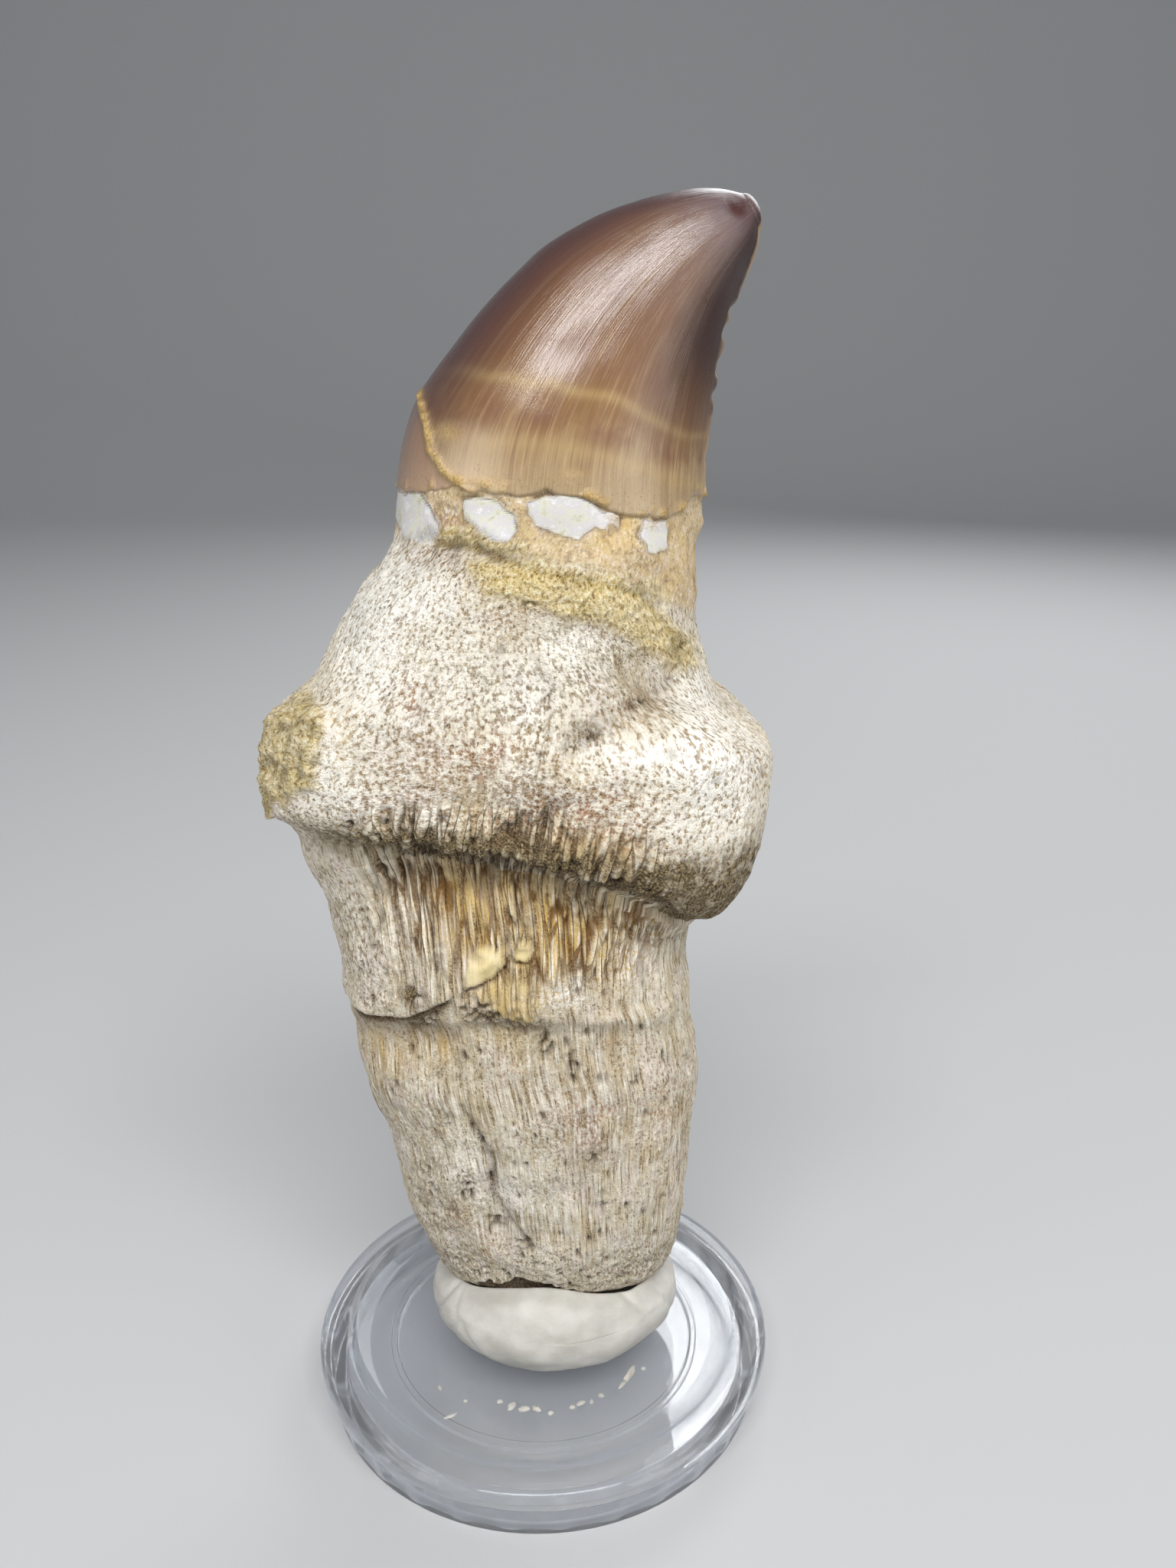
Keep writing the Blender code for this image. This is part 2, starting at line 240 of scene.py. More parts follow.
def putty_points():
    rise = np.linspace(-0.5 * math.pi, 0.5 * math.pi, putty_rings + 2)[1:-1, None]
    turn = (np.arange(putty_around) / putty_around * math.tau)[None, :]
    unit_z = np.sin(rise) + 0.0 * turn
    spread = np.cos(rise) + 0.0 * turn
    above = putty_widest + (putty_top - putty_widest) * unit_z
    below = putty_widest + (putty_widest - plate_top) * np.maximum(1.35 * unit_z, -1.0)
    height = np.where(unit_z > 0.0, above, below)
    full = spread ** 0.8 * (1.0 + 0.02 * np.sin(3.0 * turn + 0.6))
    across = putty_half_width * full * np.cos(turn)
    deep = putty_half_depth * full * np.sin(turn)

    to_pocket = np.abs(np.stack([across / pocket_half_width, deep / pocket_half_depth])) ** pocket_squareness
    in_pocket = to_pocket.sum(axis=0)
    height = height - pocket_depth * soft_step(0.75, 0.35, in_pocket) * (unit_z > 0.0)
    lip = bell(in_pocket - 1.5, 0.45) * (unit_z > 0.2)
    height = height + lip * (0.25 + 0.35 * np.abs(np.cos(turn)) ** 3)
    dent = soft_step(-1.0, 4.0, across) * soft_step(9.0, 6.0, across)
    height = height - 0.5 * dent * (deep < 0.0) * (unit_z > 0.2)

    angle = np.degrees(turn) + 0.0 * rise
    squeeze = np.zeros_like(height)
    for where, low, high, deepness in putty_creases:
        wander = where + 5.0 * np.sin(height * 0.9 + where)
        inside = soft_step(low - 0.8, low + 0.4, height) * soft_step(high + 0.8, high - 0.4, height)
        squeeze += deepness * inside * bell(turn_between(angle, wander), 2.4)
    points = np.stack([across, deep, height], axis=-1)
    squeeze -= 0.16 * grain(points / 3.1, 3) + 0.05 * grain(points / 1.1, 4)
    squeeze *= soft_step(plate_top, plate_top + 0.8, height)
    outward = np.stack([across / putty_half_width, deep / putty_half_depth, 0.4 * unit_z], axis=-1)
    outward /= np.linalg.norm(outward, axis=-1, keepdims=True)
    points -= outward * squeeze[..., None]
    points[..., 2] = np.maximum(points[..., 2], plate_top)
    return points + [*putty_centre, 0.0]


putty = skin("mounting_putty_lump", putty_points(), (*putty_centre, plate_top), (*putty_centre, pocket_floor))

crumb_spots = [             # x, y, half length, half width, height and turn of each bit, in millimetres
    (7.6, -6.7, 0.9, 0.26, 0.40, 60), (6.9, -7.9, 0.45, 0.16, 0.18, 50), (-3.4, -9.7, 0.25, 0.20, 0.14, 10),
    (-2.4, -10.2, 0.45, 0.28, 0.20, 60), (-1.3, -10.5, 0.50, 0.26, 0.22, 8),
    (-0.3, -10.5, 0.40, 0.26, 0.22, 150), (0.9, -10.9, 0.25, 0.20, 0.12, 30),
    (2.7, -10.3, 0.28, 0.18, 0.16, 20), (3.4, -9.9, 0.42, 0.20, 0.18, 35), (4.3, -9.7, 0.24, 0.16, 0.14, 80),
    (5.1, -9, 0.25, 0.22, 0.12, 0), (-6.3, -9.6, 0.20, 0.16, 0.10, 0), (-8.6, -8.2, 0.30, 0.14, 0.08, 120),
    (-7.4, -11.2, 0.55, 0.16, 0.07, 28), (8.8, -6, 0.22, 0.18, 0.10, 0), (3.1, 10.2, 0.50, 0.30, 0.18, 75),
    (-4.9, 10, 0.35, 0.26, 0.15, 20),
]


def crumb_points(long, wide, tall, turn):
    """A bit of putty, flat underneath and knobbly on top."""
    rise = np.linspace(-0.5 * math.pi, 0.5 * math.pi, 16)[1:-1, None]
    round_it = (np.arange(24) / 24.0 * math.tau)[None, :]
    ball = np.stack([np.cos(rise) * np.cos(round_it), np.cos(rise) * np.sin(round_it),
                     np.sin(rise) + 0.0 * round_it], axis=-1)
    ball *= 1.0 + 0.28 * grain(ball * 1.7 + long * 40.0, 5)[..., None]
    lie = math.radians(turn)
    across = ball[..., 0] * long * math.cos(lie) - ball[..., 1] * wide * math.sin(lie)
    deep = ball[..., 0] * long * math.sin(lie) + ball[..., 1] * wide * math.cos(lie)
    return np.stack([across, deep, np.maximum(ball[..., 2], -0.25) * tall + 0.25 * tall], axis=-1)


crumbs = []
for number, (x, y, long, wide, tall, turn) in enumerate(crumb_spots):
    bit = crumb_points(long, wide, tall, turn) + [x, y, plate_top]
    crumbs.append(skin(f"putty_crumb_{number:02d}", bit, (x, y, plate_top), (x, y, plate_top + 1.2 * tall)))


def shades(value, stops):
    """Colours that follow a value from stop to stop."""
    ramp = add_node("ValToRGB", {"Fac": value})
    while len(ramp.color_ramp.elements) < len(stops):
        ramp.color_ramp.elements.new(0.5)
    for element, (position, *colour) in zip(ramp.color_ramp.elements, stops):
        element.position = position
        element.color = paint(*colour)
    return ramp.outputs[0]


def laid_over(under, *coats):
    """Colours laid one after another over the first, each as thickly as its share says."""
    for colour, share in coats:
        over = paint(*colour) if isinstance(colour, tuple) else colour
        under = add_node("Mix", {0: share, 6: under, 7: over}, data_type="RGBA").outputs[2]
    return under


def sum_of(first, second, share=1.0):
    """first plus share of second, where each is a node's value or a number."""
    return add_node("Math", {0: second, 1: share, 2: first}, operation="MULTIPLY_ADD").outputs[0]


finish, shader = new_finish("off_white_putty")
spot = add_node("TexCoord", {}).outputs["Object"]
cloud = mottled(spot, (0.0035, 0.0035, 0.0025), 4.0, 0.55)
smudge = mottled(spot, (0.0022, 0.0022, 0.0012), 5.0, 0.65)
skin_grain = mottled(spot, (0.00035, 0.00035, 0.00035), 3.0, 0.6)
clean = shades(cloud, [(0.32, 168, 164, 155), (0.66, 194, 191, 183)])
join(shader, {"Base Color": laid_over(clean, ((138, 131, 120), faded(smudge, 0.6, 0.8, 0.0, 0.28))),
              "Roughness": faded(cloud, 0.3, 0.7, 0.42, 0.6),
              "Normal": bumps(sum_of(skin_grain, smudge, 3.0), 0.5, 0.00004),
              "Subsurface Weight": 0.12, "Subsurface Scale": 0.001})
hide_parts("mounting_putty")
for piece in (putty, *crumbs):
    piece.data.materials.append(finish)
    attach(piece, "root")


# The root shaft: the tooth's long bone root, turned to stone, tapering down to the break in the putty.
# Its bone grew in upright strands, so it is ribbed and slit lengthwise, with pits where bits fell out,
# a cracked second step on the left and a shiny yellow flake. It is one with the swelling above it.
growth_rings = np.array([   # left x and z, right x and z, front y and z, back y and z of each growth ring
    (-5.2, 9.8, 8.0, 9.4, -3.2, 9.6, 3.4, 9.6),
    (-7.9, 10.4, 9.9, 10.4, -4.5, 10.8, 4.7, 10.8),
    (-9.1, 12.0, 11.2, 12.0, -5.2, 12.4, 5.5, 12.4),
    (-10.2, 14.8, 11.8, 14.8, -6.2, 15.2, 6.4, 15.2),
    (-11.3, 18.0, 12.3, 18.0, -7.1, 18.5, 7.2, 18.5),
    (-12.1, 21.8, 12.5, 21.8, -8.0, 22.5, 7.9, 22.2),
    (-12.9, 26.6, 12.7, 26.2, -8.9, 27.2, 8.6, 27.0),
    (-14.1, 30.0, 13.1, 30.0, -9.5, 31.4, 9.2, 31.2),
    (-14.8, 33.0, 12.9, 33.2, -9.9, 35.2, 9.8, 35.0),
    (-15.0, 36.2, 12.4, 36.4, -10.0, 39.4, 10.2, 38.5),
    (-15.4, 38.4, 12.2, 38.8, -11.2, 41.2, 10.9, 40.6),
    (-15.6, 42.0, 12.0, 42.0, -11.3, 44.2, 10.8, 44.5),
    (-16.2, 45.8, 12.1, 43.8, -10.7, 48.2, 10.9, 48.0),
    (-17.1, 50.0, 12.5, 44.6, -10.7, 52.4, 11.3, 51.2),
    (-17.9, 52.9, 13.6, 45.2, -11.8, 53.8, 11.9, 52.3),
    (-19.5, 54.7, 15.2, 46.8, -13.5, 54.4, 13.3, 53.4),
    (-20.6, 55.7, 16.6, 49.0, -14.0, 55.8, 13.8, 55.2),
    (-20.6, 57.2, 17.4, 51.8, -14.0, 57.8, 13.9, 57.6),
    (-20.4, 59.0, 17.9, 55.0, -13.6, 60.2, 13.7, 60.0),
    (-20.2, 60.8, 18.1, 57.6, -13.1, 62.3, 13.2, 62.4),
    (-19.5, 62.0, 17.8, 59.5, -12.6, 64.6, 12.6, 64.6),
    (-17.8, 63.1, 16.3, 60.7, -12.0, 66.6, 12.0, 66.6),
    (-16.2, 65.0, 14.3, 62.3, -11.4, 68.6, 11.4, 68.6),
    (-14.9, 67.6, 13.1, 65.1, -10.8, 70.6, 10.8, 70.8),
    (-13.6, 69.8, 12.3, 67.8, -10.4, 72.4, 10.3, 72.6),
    (-12.4, 71.6, 11.9, 70.4, -10.0, 74.0, 9.9, 74.0),
    (-11.0, 73.2, 11.8, 72.6, -9.8, 75.4, 9.7, 75.4),
    (-10.1, 74.8, 11.8, 74.4, -9.7, 76.8, 9.6, 76.6),
    (-9.8, 76.8, 12.0, 75.8, -9.6, 78.0, 9.5, 77.8),
    (-9.4, 79.2, 11.9, 77.6, -9.4, 79.4, 9.3, 79.2),
    (-8.9, 81.6, 11.9, 79.6, -9.1, 81.2, 9.0, 81.2),
    (-7.9, 84.2, 12.0, 81.6, -8.6, 83.2, 8.5, 83.2),
    (-5.9, 86.9, 12.3, 83.9, -7.9, 85.5, 7.8, 85.5),
    (-3.1, 90.2, 12.6, 86.1, -6.9, 88.2, 6.8, 88.2),
    (0.6, 93.7, 12.9, 88.2, -5.8, 90.9, 5.7, 90.9),
    (4.2, 95.8, 13.4, 90.2, -4.7, 93.0, 4.6, 93.0),
    (7.5, 97.0, 14.1, 92.0, -3.7, 94.6, 3.6, 94.6),
    (10.3, 97.6, 14.7, 93.4, -2.9, 95.6, 2.8, 95.6),
    (12.6, 97.7, 15.1, 94.6, -2.1, 96.2, 2.0, 96.2),
    (14.3, 97.4, 15.2, 95.7, -1.2, 96.6, 1.1, 96.6),
])
bone_lumps = [              # angle round from the right, height, spread in degrees, height spread, rise
    (316, 53, 26, 6, 1.5), (308, 60.6, 26, 2.2, 1.6), (304, 65.6, 20, 2.8, -2), (232, 66, 24, 7, 0.8),
    (262, 58, 16, 3, -0.7), (284, 73, 22, 2.2, 0.7), (290, 44.6, 14, 3.2, 0.9), (222, 43.5, 16, 3.4, 0.8),
    (254, 37, 14, 2.4, -0.8), (256, 24, 8, 6, -1), (275, 17, 12, 3, 0.6), (236, 15, 14, 3, -0.5),
    (60, 62, 24, 5, 1.2), (120, 57, 20, 5, -0.9), (100, 66.5, 26, 3, 0.8), (86, 42, 18, 9, -1.3),
    (136, 40, 14, 5, 0.8), (40, 33, 14, 5, 0.7), (150, 24, 16, 6, -0.6),
]
root_squareness, crown_squareness = 2.5, 2.05
neck_ring = 27.0            # growth rings are counted from 0, and the neck lies at this one
bone_half_width, bone_half_depth, growth_scale = 15.5, 12.0, 1.9


def ring_at(place):
    """The growth ring at a place between the listed ones, on a smooth curve through them."""
    first = np.clip(np.floor(place).astype(int), 0, len(growth_rings) - 2)
    part = (place - first)[..., None]
    before = growth_rings[np.maximum(first - 1, 0)]
    start = growth_rings[first]
    end = growth_rings[first + 1]
    after = growth_rings[np.minimum(first + 2, len(growth_rings) - 1)]
    square = 2.0 * before - 5.0 * start + 4.0 * end - after
    cube = 3.0 * start - before - 3.0 * end + after
    return 0.5 * (2.0 * start + part * (end - before + part * (square + part * cube)))


def even_places(first, last, step):
    """Places from one growth ring to another, so close that no line of growth has a longer gap."""
    fine = np.linspace(first, last, 3000)
    lines = ring_at(fine).reshape(-1, 4, 2)
    gaps = np.linalg.norm(np.diff(lines, axis=0), axis=2).max(axis=1)
    run = np.concatenate([[0.0], np.cumsum(gaps)])
    return np.interp(np.linspace(0.0, run[-1], int(run[-1] / step) + 2), run, fine)


def squared(part, squareness):
    """The sine or cosine of a turn, pushed out towards the corners of a squarish ring."""
    return np.sign(part) * np.abs(part) ** (2.0 / squareness)


def even_angles(count, half_width, half_depth, squareness):
    """Angles round a growth ring that leave even gaps along its outline, the last one short of the first."""
    fine = np.linspace(0.0, math.tau, 60001)
    across = squared(np.cos(fine), squareness)
    deep = squared(np.sin(fine), squareness)
    gaps = np.hypot(half_width * np.diff(across), half_depth * np.diff(deep))
    run = np.concatenate([[0.0], np.cumsum(gaps)])
    return np.degrees(np.interp(np.arange(count) / count * run[-1], run, fine))


def tooth_form(places, angles):
    """The tooth's plain form: points in millimetres, and how far along, across and deep each of them is."""
    place, angle = np.meshgrid(places, angles, indexing="ij")
    left_x, left_z, right_x, right_z, front_y, front_z, back_y, back_z = np.moveaxis(ring_at(place), -1, 0)
    crown = soft_step(neck_ring - 1.0, neck_ring + 1.0, place)
    squareness = root_squareness + (crown_squareness - root_squareness) * crown
    turn = np.radians(angle)
    across = squared(np.cos(turn), squareness)
    deep = squared(np.sin(turn), squareness)
    zero = np.zeros_like(place)
    middle = np.stack([0.5 * (left_x + right_x), zero, 0.5 * (left_z + right_z)], axis=-1)
    half = np.stack([0.5 * (right_x - left_x), zero, 0.5 * (right_z - left_z)], axis=-1)
    depth = np.where(deep > 0.0, back_y, -front_y)
    depth_z = np.where(deep > 0.0, back_z, front_z)
    points = middle + half * across[..., None]
    points[..., 1] += depth * deep
    points[..., 2] += (depth_z - middle[..., 2]) * np.sin(turn) ** 2

    length = np.linalg.norm(half, axis=-1)
    outward = half / length[..., None] ** 2 * np.cos(turn)[..., None]
    outward[..., 1] += np.sin(turn) / depth
    outward /= np.linalg.norm(outward, axis=-1, keepdims=True)
    rise = np.zeros_like(place)
    for lump_angle, lump_height, spread, tall, amount in bone_lumps:
        to_side = turn_between(angle, lump_angle) / spread
        to_end = (points[..., 2] - lump_height) / tall
        rise += amount * np.exp(-(to_side ** 2 + to_end ** 2))
    flat = (points / 4.5).reshape(-1, 3).tolist()
    rise += 0.5 * np.array([noise.noise(spot) for spot in flat]).reshape(place.shape)
    rise *= 1.0 - crown
    rise += crown * 0.35 * bell(turn_between(angle, 0.0), 9.0)
    rise *= np.maximum(np.sin(turn) ** 2, crown)
    points += outward * rise[..., None]

    every = np.linspace(0.0, len(growth_rings) - 1.0, 4000)
    run = np.concatenate([[0.0], np.cumsum(np.linalg.norm(np.diff(ring_at(every), axis=0), axis=1))])
    return points, place, angle, across, deep, np.interp(place, every, run / growth_scale)


def bone_growth(across, deep, along):
    """Places in the bone along its own strands, in millimetres, the same on both sides of a join."""
    straight = np.stack([across * bone_half_width, deep * bone_half_depth, along], axis=-1)
    slow = straight / 5.5
    return straight + 0.24 * np.stack([grain(slow, 20), grain(slow, 21), 0.0 * along], axis=-1)


def raise_skin(points, rise):
    """Moves every point of a skin straight out of it by rise."""
    up = np.gradient(points, axis=0)
    aside = np.roll(points, -1, axis=1) - np.roll(points, 1, axis=1)
    outward = np.cross(aside, up)
    outward /= np.maximum(np.linalg.norm(outward, axis=-1, keepdims=True), 1e-9)
    return points + outward * rise[..., None]


def dots(cells, seed):
    """Distances from each point to the nearest and second of the dots scattered one to a cell,
    and the nearest dot's own number."""
    home = np.floor(cells)
    nearest = np.full(cells.shape[:-1], 9.0)
    second = nearest.copy()
    number = np.zeros_like(nearest)
    for step in itertools.product((-1, 0, 1), repeat=3):
        cell = home + step
        gaps = [cell[..., axis] + toss(cell, seed + axis) - cells[..., axis] for axis in range(3)]
        away = np.sqrt(gaps[0] ** 2 + gaps[1] ** 2 + gaps[2] ** 2)
        closer = away < nearest
        second = np.where(closer, nearest, np.minimum(second, away))
        number = np.where(closer, toss(cell, seed + 3), number)
        nearest = np.where(closer, away, nearest)
    return nearest, second, number


def strands(growth, wide, long, seed, gape=0.0):
    """Flat strands of bone fibre: 1 on them, and 0 in the slits between, which are wider in places,
    and each strand's own number."""
    nearest, second, number = dots(growth / [wide, wide, long], seed)
    slit = 0.05 + gape + 0.20 * soft_step(-0.2, 0.9, grain(growth / [1.3, 1.3, 3.5], seed + 5))
    return soft_step(slit - 0.08, slit + 0.10, second - nearest), number


def pits(growth, wide, long, share, seed):
    """Scattered small pits, 1 in the middle of each. share of the places for one have one."""
    nearest, _, number = dots(growth / [wide, wide, long], seed)
    return soft_step(0.40, 0.12, nearest) * (number < share)


def to_line(line, x, z, closed=False):
    """Distance to a line drawn on the front. Round a closed one it is negative outside."""
    nearest = np.full(x.shape, 1e6)
    inside = np.zeros(x.shape, bool)
    ends = list(zip(line, line[1:] + line[:1] if closed else line[1:]))
    for (start_x, start_z), (end_x, end_z) in ends:
        run_x, run_z = end_x - start_x, end_z - start_z
        part = kept_share(((x - start_x) * run_x + (z - start_z) * run_z) / (run_x ** 2 + run_z ** 2))
        nearest = np.minimum(nearest, np.hypot(x - start_x - part * run_x, z - start_z - part * run_z))
        if run_z != 0.0:
            crossing = start_x + (z - start_z) * run_x / run_z
            inside ^= ((start_z > z) != (end_z > z)) & (x < crossing)
    if closed:
        return np.where(inside, nearest, -nearest)
    return nearest


def spots(x, z, listed):
    """Soft stains at x and z, each with its half width, half height and strength."""
    total = np.zeros(x.shape)
    for spot_x, spot_z, wide, tall, strength in listed:
        total += strength * np.exp(-(((x - spot_x) / wide) ** 2 + ((z - spot_z) / tall) ** 2))
    return kept_share(total)


def stains(on_front, on_back=()):
    """Soft stains on the skin in hand: the middle, half width, half height and strength of each."""
    return front * spots(x, z, on_front) + back * spots(x, z, on_back)


shaft_top_ring, seam_ring = 13.35, 13.1
slit_gap, slit_long, slit_depth = 0.78, 6.0, 0.46
shaft_places = even_places(0.0, shaft_top_ring, 0.21)
shaft_angles = even_angles(400, 14.0, 10.0, root_squareness)
shaft, place, angle, across, deep, along = tooth_form(shaft_places, shaft_angles)
growth = bone_growth(across, deep, along)
x, z = shaft[..., 0], shaft[..., 2]
front, back = soft_step(0.0, 0.3, -deep), soft_step(0.0, 0.3, deep)
crumbly = grain(shaft / 0.7, 33)
gritty = soft_step(-0.30, 0.30, grain(shaft / 0.42, 46))
ragged_x, ragged_z = x + 0.15 * crumbly, z + 0.15 * grain(shaft / 0.7, 34)

lap_line = [(-15.6, 39.6), (-13, 39.6), (-10.4, 40.3), (-8.6, 41.1), (-7.3, 41.9), (-6, 43), (-5.4, 43.9)]
over_lap = z - np.interp(x, *zip(*lap_line)) + 0.25 * grain(shaft / 0.9, 22)
lap_step = 0.24
lap = front * soft_step(-5.3, -6.6, x)
under_ledge = soft_step(50.5, 53.4, z - 0.12 * np.minimum(x, 0.0) * front) * soft_step(-13.0, -8.5, x)
ribbed = soft_step(41.5, 46.0, z) * (0.5 + 0.5 * front * soft_step(-14.5, -11.5, x) * soft_step(9.5, 6.5, x))
knobbly = stains([(-12.8, 44, 2.6, 4.2, 1), (-9, 22, 3, 5, 0.7)], [(6, 24, 4, 8, 0.9), (-8, 46, 4, 4, 0.8)])
knobbly = np.maximum(knobbly, 0.7 * front * soft_step(19.0, 14.0, z))
coarse, _ = strands(growth, slit_gap, slit_long, 23)
broad, _ = strands(growth, 1.35, 9.0, 25)
broad_part = front * soft_step(-4.8, -6.4, x) * soft_step(52.2, 51.0, z)
coarse = coarse + broad_part * (broad - coarse)
fine, _ = strands(growth, 0.5, 3.5, 32)
broken = soft_step(-0.15, 0.35, grain(growth / [1.5, 1.5, 2.6], 47))
left_seam = front * soft_step(-11.0, -13.5, x) * bell(place - seam_ring, 0.8)
crumb_height = z + 2.4 * grain(growth / [1.1, 1.1, 2.6], 49)
left_crumb = soft_step(-11.4, -13.8, x) * soft_step(43.5, 49.0, crumb_height)
slit_share = 0.12 + 0.42 * soft_step(-0.1, 0.5, grain(growth / 3.2, 29))
pit = pits(growth, 0.8, 1.8, slit_share, 30)
dark_holes = stains([
    (-8.8, 42.7, 0.7, 0.8, 1), (-8, 40.1, 0.9, 0.7, 1), (-4.1, 41.9, 1.5, 0.7, 1.3),
    (-2.4, 40.7, 1.6, 0.8, 1.4), (-0.6, 40.4, 1.2, 0.8, 1.3), (0.9, 38.2, 0.6, 1.2, 1.1),
    (4.5, 27.2, 0.5, 1, 0.8), (-7.3, 30.8, 0.7, 0.8, 0.9), (-5.6, 24, 0.6, 1.1, 0.9),
    (7.5, 34.4, 0.5, 0.7, 0.9), (2.8, 36.5, 0.4, 1.5, 0.8), (-3.4, 19.6, 0.8, 0.9, 0.9),
    (-1.4, 17.6, 0.9, 0.8, 0.7), (-7.6, 35.4, 0.5, 0.7, 0.7), (5.2, 22.5, 0.35, 1.4, 0.7),
], [
    (3, 44, 0.8, 1, 1), (-5, 37, 0.7, 1.4, 1), (7.5, 31, 0.6, 0.8, 0.9), (-2, 26, 0.5, 1.8, 0.9),
    (0.5, 49, 0.6, 1.2, 0.9),
])
dark_holes = np.clip(dark_holes * (0.05 + gritty), 0.0, 0.9)
low_groove = [(-5.8, 32.2), (-4.2, 28.2), (-3.6, 24.6), (-3.5, 21.6), (-1.9, 19.6), (-0.7, 17.3)]
groove = 0.5 * front * bell(to_line(low_groove, x + 0.5 * grain(shaft / 2.2, 35), z), 0.3)
back_groove = [(5, 52), (4.2, 46), (4.6, 40), (3.4, 34), (3.8, 28)]
back_groove_share = back * bell(to_line(back_groove, x + 0.35 * crumbly, z), 0.6)
groove = np.maximum(groove, back_groove_share * (0.15 + 0.85 * gritty))
flake_edges = [
    [(-5, 45.3), (-4.7, 46), (-4.2, 46.5), (-4.1, 46.9), (-3.1, 47.1), (-2.2, 46.5),
     (-2, 45.6), (-2.8, 44.7), (-3.9, 44), (-4.9, 43.6)],
    [(-1.3, 46), (-1.4, 46.9), (-0.9, 47.6), (-0.2, 47.5), (0.1, 46.7), (-0.4, 45.8)],
]
flake_thickness, fan_thickness = 0.50, 0.30
in_flake = np.maximum(*[to_line(edge, ragged_x, ragged_z, closed=True) for edge in flake_edges])
flake = front * soft_step(-0.10, 0.40, in_flake)
under_flake = soft_step(-0.5, 1.0, 0.8 * (x + 3.3) - (z - 45.4))
flake_shade = front * soft_step(-0.38, -0.12, in_flake) * soft_step(0.05, -0.08, in_flake) * 0.7 * under_flake
fan_edge = [
    (-4.9, 43.4), (-3.1, 44.2), (-2, 45.2), (-0.3, 44.4), (0.7, 42.6), (0.2, 41), (-0.8, 40.8), (-2.4, 41.2),
    (-4, 42.6),
]
fan = soft_step(-0.1, 0.5, front * to_line(fan_edge, ragged_x, ragged_z, closed=True) - 9.0 * (1.0 - front))

pit_depth, hole_depth, groove_depth = 0.36, 0.45, 0.5
ledge_depth, foot_gap_depth, fold_depth = 0.9, 0.4, 0.80
rise = -slit_depth * ribbed * (0.5 + 0.5 * broken) * (1.0 - coarse) * (1.0 - 0.8 * left_crumb)
rise = (rise - 0.07 * (1.0 - fine)) * (1.0 - knobbly) - pit_depth * pit * (1.0 - 0.7 * ribbed)
rise += knobbly * (0.12 * crumbly - 0.45 * pits(shaft, 0.85, 0.85, 0.55, 36))
rise += lap * (lap_step * np.tanh(over_lap / 0.2) * bell(over_lap, 2.0) - 0.35 * bell(over_lap, 0.22))
rise -= hole_depth * dark_holes + groove_depth * groove
small_rise = rise * (1.0 - 0.8 * flake) + flake * 0.50 * grain(shaft / 0.9, 40) - 0.3 * flake_shade
rise = small_rise + flake_thickness * flake + fan_thickness * fan
rise -= ledge_depth * under_ledge * (0.7 + 0.3 * grain(shaft / 2.0, 43))
# The foot gap is sunk a little and painted dark as a shadow line where the root meets the putty.
foot_line = np.interp(x, [-7.3, -6.0, -4.4, -2.1, -0.4, 0.9, 2.4], [11.1, 11.1, 12.0, 12.7, 12.5, 12.0, 11.0])
foot_gap = front * soft_step(0.25, -0.25, z - foot_line + 0.4 * crumbly)
foot_gap *= soft_step(-7.0, -5.5, x) * soft_step(3.5, 1.5, x)
rise -= foot_gap_depth * foot_gap
right_fold = np.maximum(-deep, 0.0) * soft_step(1.5, 4.5, x)
uneven_z = z + 0.9 * grain(shaft / 3.4, 48)
rise -= fold_depth * right_fold * soft_step(39.3, 41.4, uneven_z) * soft_step(48.5, 44.2, z)
rise *= 1.0 - 0.85 * left_seam
rise += 0.17 * grain(shaft / 2.5, 44) + 0.07 * crumbly
rise *= 1.0 - 0.7 * soft_step(12.2, 10.5, z)
rise += 0.8 * front * soft_step(-8.5, -12.5, x) * bell(place - 13.4, 0.9)
rise -= 0.9 * soft_step(13.10, 13.34, place)

rib_gap = stains([
    (-7, 51, 0.8, 2.6, 1.2), (-6.8, 46.4, 0.6, 3.2, 1.2), (-0.2, 50.6, 0.8, 2.6, 1.3),
    (-0.1, 45, 0.5, 3, 1.1), (3.2, 50.6, 1.3, 1.6, 1.2), (5, 49.2, 0.7, 1.4, 1),
    (-10, 50, 0.35, 2.4, 0.9), (-3, 52.4, 3, 0.6, 0.8),
    (-9, 52.6, 2.6, 0.8, 0.9), (8, 50.4, 1.6, 0.6, 0.8),
])
rib_gap = kept_share(rib_gap * (0.45 + 0.75 * (1.0 - coarse)) * (0.6 + 0.5 * gritty)) * (1.0 - flake)
